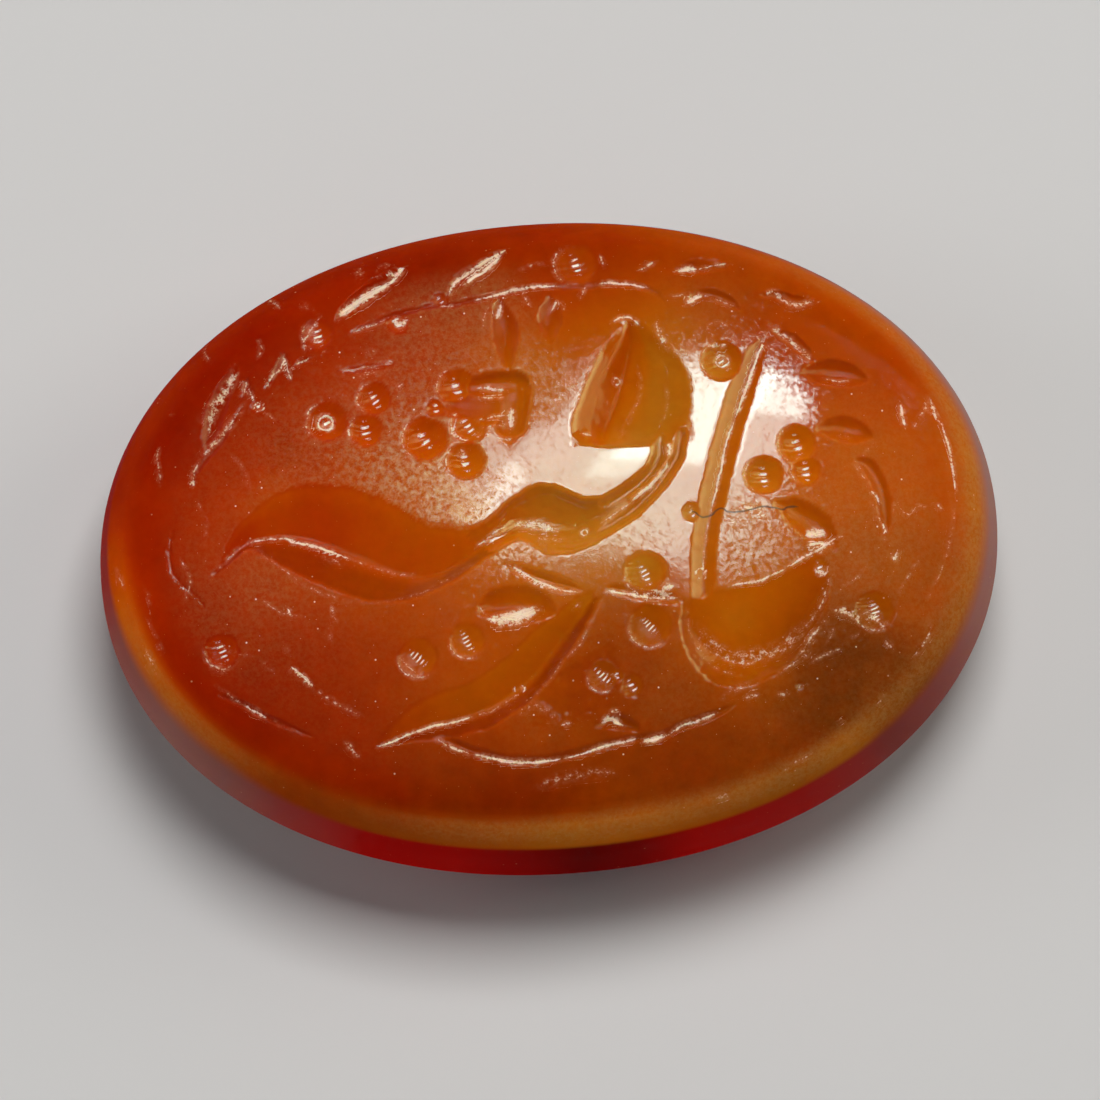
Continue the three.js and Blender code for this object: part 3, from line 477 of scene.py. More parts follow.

# The rim seen from above, by degrees round it: (angle, warmth, lightness with a painted glow, low layer:
# lightness of the low red band with painted glow and shade, share of the painted pale rim reflection)
rimColours = [
    (0, 0.75, 0.95, 1, 1), (30, 0.6, 0.9, 0.9, 1), (45, 0.55, 0.85, 0.8, 0.8), (62, 0.5, 0.78, 0.6, 0.3),
    (90, 0.2, 0.7, 0.6, 0), (135, 0.08, 0.8, 0.7, 0), (172, 0.15, 1, 0.8, 0.1), (182, 0.45, 1.3, 0.85, 0.2),
    (190, 0.6, 1.3, 0.85, 0.6), (203, 0.65, 1.05, 0.9, 0.85), (213, 0.6, 0.85, 0.8, 0.75),
    (222, 0.5, 0.7, 0.9, 0.3), (235, 0.55, 0.75, 1.15, 0), (250, 0.66, 0.88, 1.2, 0),
    (264, 0.78, 1, 0.7, 0), (272, 0.82, 1.05, 0.4, 0), (282, 0.8, 1.05, 0.6, 0), (292, 0.78, 0.95, 1.2, 0),
    (310, 0.78, 0.75, 1, 0.05), (320, 0.82, 0.85, 0.8, 0.2), (325, 0.75, 0.6, 0.6, 0.4),
    (334, 0.7, 0.5, 0.7, 0.55), (345, 0.75, 0.75, 0.95, 0.85), (360, 0.75, 0.95, 1, 1),
]

# How the tools cut, and what they leave
tooling = {
    "uncut": -0.05,                 # stands for the depth of the untouched face
    "fullLook": 0.05,               # from this depth on, a cut's own look is full
    "scoopPoints": 180,
    "scoopReach": 0.15,
    "scoopOverrun": (-0.35, 1.12),  # where a wall ends beside the first and past the last guide
    "scoopSlack": 0.02,
    "scoopMarks": 0.12,
    "scoopSparkle": 0.1,
    "edgeSteeper": 0.6,
    "wheelPoints": 18,
    "wheelReach": 1.4,              # half widths
    "wheelLook": (0.3, 0.18, 0.5),  # strength of its marks, shine, sparkle
    "biteLimits": (0.05, 1.1),
    "flatFloor": (0.35, 0.5),       # a flat wheel's level floor, and how much it bulges
    "drillLean": (110, 122),        # degrees, in the upper and in the lower half of the face
    "leanSwing": 14,
    "ringCentre": 2.2,              # radii from the pit to the middle of its turned rings
    "ringPitch": (0.95, 1.4),
    "pitReach": 1.3,
    "pitShine": (0.04, 0.6),        # all over, and added in the middle
    "pitSparkle": 0.08,
    # Pits painted lighter, a painted light, and warmer
    "pitTone": (1.1, 0.12),
    "glintSize": (0.085, 0.25),
    "fullGlint": 0.36,
    "bruiseTurn": (175, 245),
    "bruiseWidth": 0.07,
    "bruiseReach": 0.13,
    "bruiseStrength": 0.6,
    "bruisedFrom": 0.3,             # smaller pits have no bruised rim
    "strokePoints": 14,
    "strokeReach": 0.1,
    "strokeMargin": 0.09,
    "strokeTip": 0.35,              # width of a stroke's tips, as a share of its middle
}


def outlineRadius(angle):
    along = np.abs(np.cos(angle)) / halfLength
    across = np.abs(np.sin(angle)) / halfWidth
    return (along ** stone["ovalPower"] + across ** stone["ovalPower"]) ** (-1 / stone["ovalPower"])


# Height of the uncut domed face
def domeHeight(x, y):
    share = np.hypot(x, y) / (outlineRadius(np.arctan2(y, x)) - stone["shoulderInset"])
    return stone["thickness"] - stone["faceRise"] * share ** 2


# From the thousandths of the tables to millimetres
def onStone(x, y):
    return x / 1000 * halfLength, y / 1000 * halfWidth


def placeObject(name, data):
    made = bpy.data.objects.new(name, data)
    bpy.context.scene.collection.objects.link(made)
    return made


def bezier(corners, steps):
    t = np.linspace(0, 1, steps + 1)[:, None]
    a, b, c, d = (np.array(corner, float) for corner in corners)
    return (1 - t) ** 3 * a + 3 * (1 - t) ** 2 * t * b + 3 * (1 - t) * t ** 2 * c + t ** 3 * d


def smoothStep(value, low, high):
    t = np.clip((value - low) / (high - low), 0, 1)
    return t * t * (3 - 2 * t)


# Smooth a few points into a dense line, spaced evenly by length. The share is for pairs
def smoothLine(points, count, share=1.0):
    pts = np.array(points, float)
    pts[:, :2] /= 1000
    if pts.shape[1] == 2:
        pts = np.hstack([pts, np.full((len(pts), 1), share)])
    pts = pts * (halfLength, halfWidth, 1)
    ends = np.vstack([2 * pts[0] - pts[1], pts, 2 * pts[-1] - pts[-2]])
    t = np.linspace(0, 1, 16, endpoint=False)[:, None]
    spans = []
    for i in range(len(pts) - 1):
        a, b, c, d = ends[i:i + 4]
        spans.append(0.5 * (2 * b + (c - a) * t + (2 * a - 5 * b + 4 * c - d) * t ** 2
                            + (3 * b - a - 3 * c + d) * t ** 3))
    dense = np.vstack(spans + [pts[-1:]])
    run = np.concatenate([[0], np.cumsum(np.hypot(*np.diff(dense[:, :2], axis=0).T))])
    wanted = np.linspace(0, run[-1], count)
    return np.stack([np.interp(wanted, run, dense[:, k]) for k in range(3)], 1)


# Smooth bumps of one size from a seeded lattice, between -1 and 1
def waves(x, y, cell, seed):
    size = 64
    lattice = np.random.default_rng(seed).uniform(-1, 1, (size, size))
    u, v = x / cell + size // 2, y / cell + size // 2
    i, j = np.floor(u).astype(int) % (size - 1), np.floor(v).astype(int) % (size - 1)
    fu, fv = u - np.floor(u), v - np.floor(v)
    fu, fv = fu * fu * (3 - 2 * fu), fv * fv * (3 - 2 * fv)
    low = lattice[i, j] * (1 - fu) + lattice[i + 1, j] * fu
    high = lattice[i, j + 1] * (1 - fu) + lattice[i + 1, j + 1] * fu
    return low * (1 - fv) + high * fv


def layered(x, y, size, fineSize, share, seed, fineSeed):
    return waves(x, y, size, seed) + share * waves(x, y, fineSize, fineSeed)


class Carving:
    # Collects the cuts' depth over the face, and what the cutting left there
    def __init__(self, x, y):
        self.x = x + stone["edgeWander"] * layered(x, y, *stone["wanderX"])
        self.y = y + stone["edgeWander"] * layered(x, y, *stone["wanderY"])
        untouched = {"depth": tooling["uncut"], "mark": 0, "marked": 0, "shine": 1, "sparkle": 0,
                     "tone": 1, "warm": 0, "glint": 0, "frostGap": 1, "frostWidth": 0.1,
                     "frostStrength": 0, "frostNear": 9}
        for name, value in untouched.items():
            setattr(self, name, np.full(x.shape, float(value)))

    # The points in a box round a line
    def near(self, line, reach):
        return np.nonzero((self.x > line[:, 0].min() - reach) & (self.x < line[:, 0].max() + reach)
                          & (self.y > line[:, 1].min() - reach) & (self.y < line[:, 1].max() + reach))[0]

    # Where a cut is the deepest so far, its depth and its look replace what was there
    def keep(self, spots, depth, mark, cut, marked, shine, sparkle, light=1.0, warm=0.0, glint=0.0):
        deeper = depth > self.depth[spots]
        found = spots[deeper]
        self.depth[found] = depth[deeper]
        self.mark[found] = mark[deeper]
        inside = smoothStep(depth[deeper], 0, tooling["fullLook"])
        kept = {"marked": cut.get("marks", marked), "glint": glint, "warm": warm, "tone": light - 1,
                "shine": cut.get("shine", shine) - 1, "sparkle": cut.get("sparkle", sparkle)}
        for name, value in kept.items():
            getattr(self, name)[found] = np.broadcast_to(value, depth.shape)[deeper] * inside
        self.tone[found] += 1
        self.shine[found] += 1

    def scoop(self, cut):
        lines = [smoothLine(guide, tooling["scoopPoints"], 0.0) for guide in cut["guides"]]
        for number in range(len(lines) - 1):
            self.wall(lines, number, cut)

    # One wall of a scoop, between two guide lines
    def wall(self, lines, number, cut):
        a, b = lines[number], lines[number + 1]
        first, last = number == 0, number == len(lines) - 2
        spots = self.near(np.vstack([a, b]), tooling["scoopReach"])
        px, py = self.x[spots][:, None], self.y[spots][:, None]
        wx, wy = b[:, 0] - a[:, 0], b[:, 1] - a[:, 1]
        length = wx ** 2 + wy ** 2 + 1e-9
        side = wx * (py - a[:, 1]) - wy * (px - a[:, 0])
        share = ((px - a[:, 0]) * wx + (py - a[:, 1]) * wy) / length
        lowest = (tooling["scoopOverrun"][0] if first else 0) - tooling["scoopSlack"]
        highest = (tooling["scoopOverrun"][1] if last else 1) + tooling["scoopSlack"]
        fits = (side[:, :-1] * side[:, 1:] <= 0) & (share[:, :-1] > lowest)
        fits &= (share[:, :-1] < highest) & (np.abs(share[:, :-1] - share[:, 1:]) < 0.5)
        misfit = 99
        score = np.where(fits, np.abs(share[:, :-1] - 0.5), misfit)
        best = score.argmin(1)
        rows = np.arange(len(spots))
        inside = score[rows, best] < misfit
        spots, rows, best = spots[inside], rows[inside], best[inside]
        sa, sb = side[rows, best], side[rows, best + 1]
        f = sa / np.where(np.abs(sa - sb) < 1e-12, 1e-12, sa - sb)
        t = share[rows, best] * (1 - f) + share[rows, best + 1] * f
        da = (a[best, 2] * (1 - f) + a[best + 1, 2] * f) * cut["depth"]
        db = (b[best, 2] * (1 - f) + b[best + 1, 2] * f) * cut["depth"]
        outer, inner = 1 + tooling["edgeSteeper"] * cut["round"], 1 - cut["round"]
        slopeA = outer if first else inner
        slopeB = outer if last else inner
        c = np.clip(t, 0, 1)
        rise = (c ** 3 - 2 * c ** 2 + c) * slopeA + 3 * c ** 2 - 2 * c ** 3 + (c ** 3 - c ** 2) * slopeB
        rise += np.minimum(t, 0) * slopeA + np.maximum(t - 1, 0) * slopeB
        share = smoothStep(t, 0, 0.5)
        light, warm, shine = (one + (two - one) * share
                              for one, two in zip(cut["tones"][number], cut["tones"][number + 1]))
        self.keep(spots, da + (db - da) * rise, t * np.sqrt(length[best]), cut, tooling["scoopMarks"],
                  shine, tooling["scoopSparkle"], light, warm)

    # How far each near point is from a line, across it and along it, and the line's value there
    def against(self, line, reach):
        spots = self.near(line, reach)
        dx, dy = self.x[spots][:, None] - line[:, 0], self.y[spots][:, None] - line[:, 1]
        best = (dx ** 2 + dy ** 2).argmin(1)
        rows = np.arange(len(spots))
        dx, dy = dx[rows, best], dy[rows, best]
        way = np.gradient(line[:, :2], axis=0)
        way /= np.hypot(way[:, 0], way[:, 1])[:, None]
        across = way[best, 0] * dy - way[best, 1] * dx
        return spots, across, np.hypot(dx, dy), line[best, 2]

    def wheel(self, cut):
        line = smoothLine(cut["path"], len(cut["path"]) * tooling["wheelPoints"])
        half = cut["width"] / 2
        spots, across, away, bite = self.against(line, half * tooling["wheelReach"])
        least, most = tooling["biteLimits"]
        bite = np.maximum(bite, least)
        share = away / (half * bite)
        floor, bulge = tooling["flatFloor"]
        form = {"round": 1 - share ** 2, "vee": 1 - share,
                "flat": np.minimum(1 - share ** 2, floor + bulge * (1 - share ** 2)) / (floor + bulge)}
        depth = cut["depth"] * np.minimum(bite, most) * form[cut.get("section", "round")]
        self.keep(spots, depth, across, cut, *tooling["wheelLook"])

    # A ball drill held at a lean leaves rings round a point beside the pit
    def drill(self, x, y, radius, depth):
        x, y = onStone(x, y)
        half = 0 if y > 0 else 1
        reach = radius * tooling["pitReach"]
        spots = np.nonzero((np.abs(self.x - x) < reach) & (np.abs(self.y - y) < reach))[0]
        dx, dy = self.x[spots] - x, self.y[spots] - y
        distance = np.hypot(dx, dy)
        lean = math.radians(tooling["drillLean"][half] + tooling["leanSwing"] * math.sin(7 * x + 3 * y))
        far = radius * tooling["ringCentre"]
        rings = np.hypot(dx - far * math.cos(lean), dy - far * math.sin(lean))
        rings = rings * tooling["ringPitch"][half] * (1 + 0.15 * math.sin(5 * x - 4 * y)) + 0.03 * x
        along = dx * math.cos(lean) + dy * math.sin(lean)
        across = dy * math.cos(lean) - dx * math.sin(lean)
        # A painted highlight: a stack of pale strokes over the pit's middle, mixed into the colour later
        size = min(1, radius / tooling["fullGlint"])
        thin, tall = tooling["glintSize"]
        glint = np.exp(-(across / (thin * size)) ** 2 - (along / (tall * size)) ** 2)
        middle = np.exp(-(distance / (0.5 * radius)) ** 2)
        shine = tooling["pitShine"][0] + tooling["pitShine"][1] * middle
        self.keep(spots, depth * (1 - (distance / radius) ** 2), rings, {}, 1.0, shine,
                  tooling["pitSparkle"], *tooling["pitTone"], glint)

    # The bruised rim on the side of a pit that the drill leaned on
    def bruised(self, x, y, radius):
        x, y = onStone(x, y)
        distance = np.hypot(self.x - x, self.y - y)
        spots = np.nonzero(np.abs(distance - radius) < tooling["bruiseReach"])[0]
        middle = math.radians(tooling["bruiseTurn"][0 if y > 0 else 1])
        turn = np.arctan2(self.y[spots] - y, self.x[spots] - x) - middle
        strength = tooling["bruiseStrength"] if radius > tooling["bruisedFrom"] else 0
        arc = strength * np.clip(1.2 * np.cos(turn), 0, 1)
        self.claim(spots, distance[spots] - radius, tooling["bruiseWidth"], arc)

    # Give the points near a stroke their signed distance from it, its width and its strength; the strokes
    # are frosting, painted highlights and cracks
    def claim(self, spots, gap, width, strength):
        width = np.broadcast_to(width, gap.shape)
        near = np.abs(gap) / width
        nearer = (near < self.frostNear[spots]) & (np.abs(gap) < width / 2 + tooling["strokeMargin"])
        found = spots[nearer]
        self.frostNear[found] = near[nearer]
        self.frostGap[found] = gap[nearer]
        self.frostWidth[found] = width[nearer]
        self.frostStrength[found] = np.broadcast_to(strength, gap.shape)[nearer]

    # A stroke is widest and strongest in its middle
    def frosted(self, width, strength, path):
        line = smoothLine(path, len(path) * tooling["strokePoints"])
        line[:, 2] = np.linspace(0, 1, len(line))
        spots, across, away, run = self.against(line, width + tooling["strokeReach"])
        full = np.sin(math.pi * np.clip(run, 0.01, 0.99)) ** 0.6
        fading = np.clip(np.minimum(run, 1 - run) * 5 + 0.5, 0, 1)
        tip = tooling["strokeTip"]
        self.claim(spots, np.sign(across) * away, width * (tip + (1 - tip) * full), strength * fading)

    def ringed(self, x, y, radius, width, strength):
        x, y = onStone(x, y)
        away = np.hypot(self.x - x, self.y - y) - radius
        spots = np.nonzero(away < width + tooling["strokeReach"])[0]
        self.claim(spots, away[spots], width, strength)


# Blend zones into smooth values over the stone
def zoneValues(zones, x, y):
    farWeight = 0.004
    weights = 1e-9
    sums = [0, 0]
    for zx, zy, reach, first, second in zones:
        gap = np.hypot(x / halfLength - zx, (y / halfWidth - zy) * halfWidth / halfLength) / reach
        weight = np.exp(-gap ** 2) + farWeight / (1 + gap ** 4)
        sums = [sums[0] + weight * first, sums[1] + weight * second]
        weights = weights + weight
    return sums[0] / weights, sums[1] / weights


# A square grid bent into the oval of the face, with every point's share of the way out
def layGrid():
    cols, rows = stone["gridAcross"] + 1, stone["gridUp"] + 1
    u, v = np.meshgrid(np.linspace(-1, 1, cols), np.linspace(-1, 1, rows))
    discX = u * np.sqrt(1 - v ** 2 / 2)
    discY = v * np.sqrt(1 - u ** 2 / 2)
    angle = np.arctan2(discY * halfWidth, discX * halfLength)
    out = np.hypot(discX, discY)
    reach = out * (outlineRadius(angle) - stone["shoulderInset"])
    grid = np.arange(cols * rows).reshape(rows, cols)
    faces = np.stack([grid[:-1, :-1], grid[:-1, 1:], grid[1:, 1:], grid[1:, :-1]], -1).reshape(-1, 4)
    loop = np.concatenate([grid[0, :-1], grid[:-1, -1], grid[-1, :0:-1], grid[:0:-1, 0]])
    x, y = reach * np.cos(angle), reach * np.sin(angle)
    return x.ravel(), y.ravel(), out.ravel(), faces, loop, angle.ravel()[loop]


# Make every cut, and chip and wear its edges. The depth is kept in the carving
def cutFace(x, y, out):
    carving = Carving(x, y)
    for cut in scoops.values():
        carving.scoop(cut)
    for cut in wheelCuts.values():
        carving.wheel(cut)
    for pit in pits:
        carving.drill(*pit)
    chips = stone["edgeChips"] * layered(x, y, *stone["chipWaves"])
    depth = carving.depth + chips * np.exp(-(carving.depth / stone["chipDepth"]) ** 2)
    carving.depth = depth
    wear, uncut = stone["edgeWear"], tooling["uncut"]
    sunk = 0.5 * (depth + np.sqrt(depth ** 2 + wear ** 2)) - 0.5 * (uncut + math.hypot(uncut, wear))
    fade = np.clip((1 - out) / stone["faceEdgeFade"], 0, 1)
    uneven = stone["faceUneven"] * layered(x, y, *stone["faceWaves"]) * fade
    cuts = len(scoops) + len(wheelCuts) + len(pits)
    print("face cut,", cuts, "cuts, deepest", round(sunk.max(), 3), "mm")
    return carving, domeHeight(x, y) - sunk - stone["faceSink"] * fade + uneven


# The side of the stone as (radius, height), from under the face down to the flat back
def sideProfile():
    reach, turn, inset = stone["shoulderInset"], stone["shoulderRound"], stone["backInset"]
    girdle, faceRadius = stone["girdleHeight"], halfLength - stone["shoulderInset"]
    faceEdge = stone["thickness"] - stone["faceRise"]
    slope = 2 * stone["faceRise"] / faceRadius
    shoulder = bezier([
        (faceRadius, faceEdge), (faceRadius + reach * turn, faceEdge - reach * turn * slope),
        (halfLength, girdle + (faceEdge - girdle) * turn), (halfLength, girdle)], stone["shoulderSteps"])
    bevel = bezier([
        (halfLength, girdle), (halfLength, girdle * stone["bevelStraight"]),
        (halfLength - inset * stone["bevelReach"], girdle * stone["bevelLow"]),
        (halfLength - inset, stone["backChamfer"])], stone["bevelSteps"])
    return [*shoulder[1:], *bevel[1:], (halfLength - inset - stone["backChamfer"], 0.0)]


# Add a ring of points inside or below the last one, and the faces between them
def addRing(points, faces, loop, angle, place, height, between=()):
    ring = sum(len(part) for part in points) + np.arange(len(loop))
    faces.append(np.stack([loop, ring, np.roll(ring, -1), np.roll(loop, -1), *between], 1))
    points.append(np.stack([place * np.cos(angle), place * np.sin(angle), np.full(len(place), height)], 1))
    return ring


# Close the stone down its side and over its back. Below the fine rings, only every fourth point goes on
def closeStone(points, faces, loop, angle):
    for number, (radius, height) in enumerate(sideProfile()):
        between = ()
        if number == stone["fineRings"]:
            step = stone["coarseEvery"]
            between = [loop[k::step] for k in range(step - 1, 0, -1)]
            loop, angle = loop[::step], angle[::step]
        place = outlineRadius(angle) - (halfLength - radius)
        loop = addRing(points, faces, loop, angle, place, height, between)
    backEdge = outlineRadius(angle) - stone["backInset"] - stone["backChamfer"]
    for number in range(1, stone["backRings"]):
        loop = addRing(points, faces, loop, angle, backEdge * (1 - number / stone["backRings"]), 0.0)
    return loop


# Frosted strokes and painted highlight strokes, stamped rings and bruised rims in one carving, and the hair
# crack in another
def layFrostAndHighlights(x, y, z):
    frostAndHighlights, cracking = Carving(x, y), Carving(x, y)
    for stroke in frostAndHighlightStrokes:
        frostAndHighlights.frosted(*stroke)
    for ring in drillRings:
        frostAndHighlights.ringed(*ring)
    for pit in pits:
        frostAndHighlights.bruised(*pit[:3])
    frostAndHighlights.frostStrength[z < stone["girdleHeight"] + stone["strokesAboveGirdle"]] = 0
    for crack in cracks:
        cracking.frosted(*crack)
    print("frost laid,", len(frostAndHighlightStrokes), "strokes and", len(drillRings), "rings")
    return frostAndHighlights, cracking


# Where the looks change over the surface. Pairs are where a change starts and where it is full
surface = {
    "rimColours": (5.44, 5.1),      # heights
    "side": (0.88, 1.0),            # shares of the way out
    "cut": (-0.004, 0.012),         # depths
    "rimDepth": 0.014,
    "dullPolish": (0.75, 0.0),
    "dullSparkle": 0.3,
    # A painted pale sheen on the upper shoulder, where the stone is warm
    "sideSheen": 0.4,
    "sideSheenHeights": (4.45, 4.9),
    "sideSheenWarmth": (0.45, 0.75),
    "sidePolish": 0.3,
    "cutPolish": 0.95,
    "rimGlossLoss": 0.8,
    "sideGlossLoss": 0.88,
    "looseLeast": 0.35,
    "loosePolish": (0.8, 0.1),
    "looseCutLoss": 0.5,
    "looseSideLoss": 0.6,
    "frostyRims": (-0.1, 0.5),
    "frostyPatch": (0.9, 31),       # size and seed
    "strokeSparkle": 1.3,           # how far past a stroke's middle its sparkle goes, in widths
}


# What the materials read from each point of the stone
def surfaceValues(carving, out, x, y, z):
    def whole(value, beyond=0.0):
        return np.concatenate([value, np.full(len(x) - len(out), beyond)])

    frostAndHighlights, cracking = layFrostAndHighlights(x, y, z)
    rimShare = smoothStep(z, *surface["rimColours"])
    onSide = whole(smoothStep(out, *surface["side"]), 1.0)
    warmth, lightness = zoneValues(colourZones, x, y)
    degrees = np.degrees(np.arctan2(y, x)) % 360
    angles, rimWarmth, rimLight, rimLow, rimSheen = (np.array(part, float) for part in zip(*rimColours))
    warmth += (np.interp(degrees, angles, rimWarmth) - warmth) * rimShare
    lightness += (np.interp(degrees, angles, rimLight) - lightness) * rimShare
    polish, dustAndSheen = zoneValues(wearAndSheenZones, x, y)
    depth = whole(carving.depth, tooling["uncut"])
    cut = smoothStep(depth, *surface["cut"])
    rim = np.exp(-(depth / surface["rimDepth"]) ** 2)
    dullAndSheen = surface["dullSparkle"] * smoothStep(polish, *surface["dullPolish"]) * (1 - cut) * (1 - onSide)
    frostNear = np.clip(surface["strokeSparkle"] - frostAndHighlights.frostNear, 0, 1)
    frostNear = frostNear * np.clip(frostAndHighlights.frostStrength, 0, 1)
    sideSheen = surface["sideSheen"] * onSide * smoothStep(z, *surface["sideSheenHeights"])
    least = surface["looseLeast"]
    loose = least + (1 - least) * smoothStep(polish, *surface["loosePolish"])
    return {
        "warmth": warmth + whole(carving.warm),
        "lightness": lightness * whole(carving.tone, 1.0),
        # The low band's painted glow and shade, and the share of the painted pale rim reflection
        "lowLight": np.interp(degrees, angles, rimLow),
        "dullAndSheen": np.interp(degrees, angles, rimSheen),
        "dustAndSheen": dustAndSheen * (1 - cut) * (1 - onSide) + sideSheen * smoothStep(warmth, *surface["sideSheenWarmth"]),
        "polish": ((polish * (1 - onSide) + surface["sidePolish"] * onSide) * (1 - cut)
                   + surface["cutPolish"] * cut),
        "gloss": ((1 - surface["rimGlossLoss"] * rim) * (1 - (1 - whole(carving.shine, 1.0)) * cut)
                  * (1 - surface["sideGlossLoss"] * onSide)),
        "glint": whole(carving.glint),
        "sparkle": np.maximum(np.maximum(dullAndSheen, whole(carving.sparkle)), frostNear),
        "frostGap": frostAndHighlights.frostGap,
        "frostWidth": frostAndHighlights.frostWidth,
        "frostStrength": frostAndHighlights.frostStrength,
        "crackGap": cracking.frostGap,
        "loose": loose * (1 - surface["looseCutLoss"] * cut) * (1 - surface["looseSideLoss"] * onSide),
        "edgeFrost": rim * smoothStep(waves(x, y, *surface["frostyPatch"]), *surface["frostyRims"]),
        "toolMark": whole(carving.mark),
        "toolStrength": whole(carving.marked),
    }


def buildStone():
    x, y, out, grid, loop, angle = layGrid()
    carving, z = cutFace(x, y, out)
    points, faces = [np.stack([x, y, z], 1)], [grid]
    loop = closeStone(points, faces, loop, angle)
    everyFace = [face.tolist() for group in faces for face in group] + [loop.tolist()]
    vertices = np.vstack(points)
    mesh = bpy.data.meshes.new("gem_stone")
    mesh.from_pydata((vertices * mm).tolist(), [], everyFace)
    mesh.shade_smooth()
    for name, value in surfaceValues(carving, out, *vertices.T).items():
        attribute = mesh.attributes.new(name, "FLOAT", "POINT")
        attribute.data.foreach_set("value", np.asarray(value, np.float32))
    print("stone built,", len(vertices), "points,", len(everyFace), "faces")
    return placeObject("gem_stone", mesh)


# Writes nodes into one tree. An input is given a value, or is linked to another node's output
class Nodes:
    def __init__(self, tree):
        self.tree = tree

    def put(self, value, socket):
        if isinstance(value, bpy.types.NodeSocket):
            self.tree.links.new(value, socket)
        else:
            socket.default_value = value

    def add(self, kind, fields, inputs):
        made = self.tree.nodes.new("ShaderNode" + kind)
        for name, value in fields.items():
            setattr(made, name, value)
        for name, value in inputs.items():
            self.put(value, made.inputs[name])
        return made.outputs

    def math(self, operation, *values):
        return self.add("Math", {"operation": operation}, dict(enumerate(values)))[0]

    def times(self, a, b):
        return self.math("MULTIPLY", a, b)

    def timesPlus(self, value, factor, more):
        return self.math("MULTIPLY_ADD", value, factor, more)

    def most(self, a, b):
        return self.math("MAXIMUM", a, b)

    def vector(self, operation, inputs):
        return self.add("VectorMath", {"operation": operation}, inputs)[0]

    def mix(self, factor, a, b, blend="MIX"):
        return self.add("Mix", {"data_type": "RGBA", "blend_type": blend}, {0: factor, 6: a, 7: b})[2]

    # A colour made lighter or darker by a value
    def lit(self, colour, light):
        grey = self.add("CombineXYZ", {}, {0: light, 1: light, 2: light})[0]
        return self.mix(1.0, colour, grey, "MULTIPLY")

    def remap(self, value, low, high, toLow=0.0, toHigh=1.0):
        return self.add("MapRange", {"interpolation_type": "SMOOTHSTEP"},
                        {0: value, 1: low, 2: high, 3: toLow, 4: toHigh})[0]

    def noise(self, place, scale, detail, roughness):
        return self.add("TexNoise", {"noise_dimensions": "3D"}, {
            "Vector": place, "Scale": scale, "Detail": detail, "Roughness": roughness})[0]

    # Noise as a mask: (scale, detail, roughness, where it starts, where it is full)
    def cloudy(self, place, scale, detail, roughness, *limits):
        return self.remap(self.noise(place, scale, detail, roughness), *limits)

    # Noise about zero
    def uneven(self, place, scale, detail, roughness):
        return self.math("SUBTRACT", self.noise(place, scale, detail, roughness), 0.5)

    def attribute(self, name):
        return self.add("Attribute", {"attribute_name": name}, {})["Fac"]

    def group(self, group, inputs):
        return self.add("Group", {"node_tree": group}, inputs)


# A group's sockets are numbers, apart from the ones named Place and Colour
def newGroup(name, inputs, outputs):
    tree = bpy.data.node_groups.new(name, "ShaderNodeTree")
    kinds = {"Place": "NodeSocketVector", "Colour": "NodeSocketColor"}
    for side, titles in (("INPUT", inputs), ("OUTPUT", outputs)):
        for title in titles:
            tree.interface.new_socket(title, in_out=side, socket_type=kinds.get(title, "NodeSocketFloat"))
    start = tree.nodes.new("NodeGroupInput")
    end = tree.nodes.new("NodeGroupOutput")
    return tree, Nodes(tree), start.outputs, end.inputs


def newMaterial(name, values):
    material = bpy.data.materials.new(name)
    material.use_nodes = True
    shader = material.node_tree.nodes["Principled BSDF"].inputs
    for socket, value in values.items():
        shader[socket].default_value = value
    return material, shader


body = {
    "red": (0.28, 0.0062, 0.0003, 1),
    "redOrange": (0.4, 0.025, 0.0003, 1),
    "orange": (0.47, 0.06, 0.0003, 1),
    "amber": (0.5, 0.108, 0.0008, 1),
    "honey": (0.46, 0.165, 0.008, 1),
    "stops": {"redOrange": 0.25, "orange": 0.5, "amber": 0.78},
    "clouds": (0.5, 4.0, 0.6),
    "cloudWarmth": 0.3,
    "flecks": (2.2, 4.0, 0.65),
    "fleckLight": 0.3,
    # The low red band is partly the stone's red and partly a painted glow of light through the edge; the
    # rim sheen colour is a painted pale reflection
    "lowRedAndGlow": (0.36, 0.0025, 0.0015, 1),
    "rimSheenColour": (0.31, 0.145, 0.12, 1),
    "layerHeight": 4.4,
    "layerBand": (0.08, 0.1),    # below and above that height
    "sheenBand": (0.15, 0.55),    # added to it where the painted rim sheen is
}


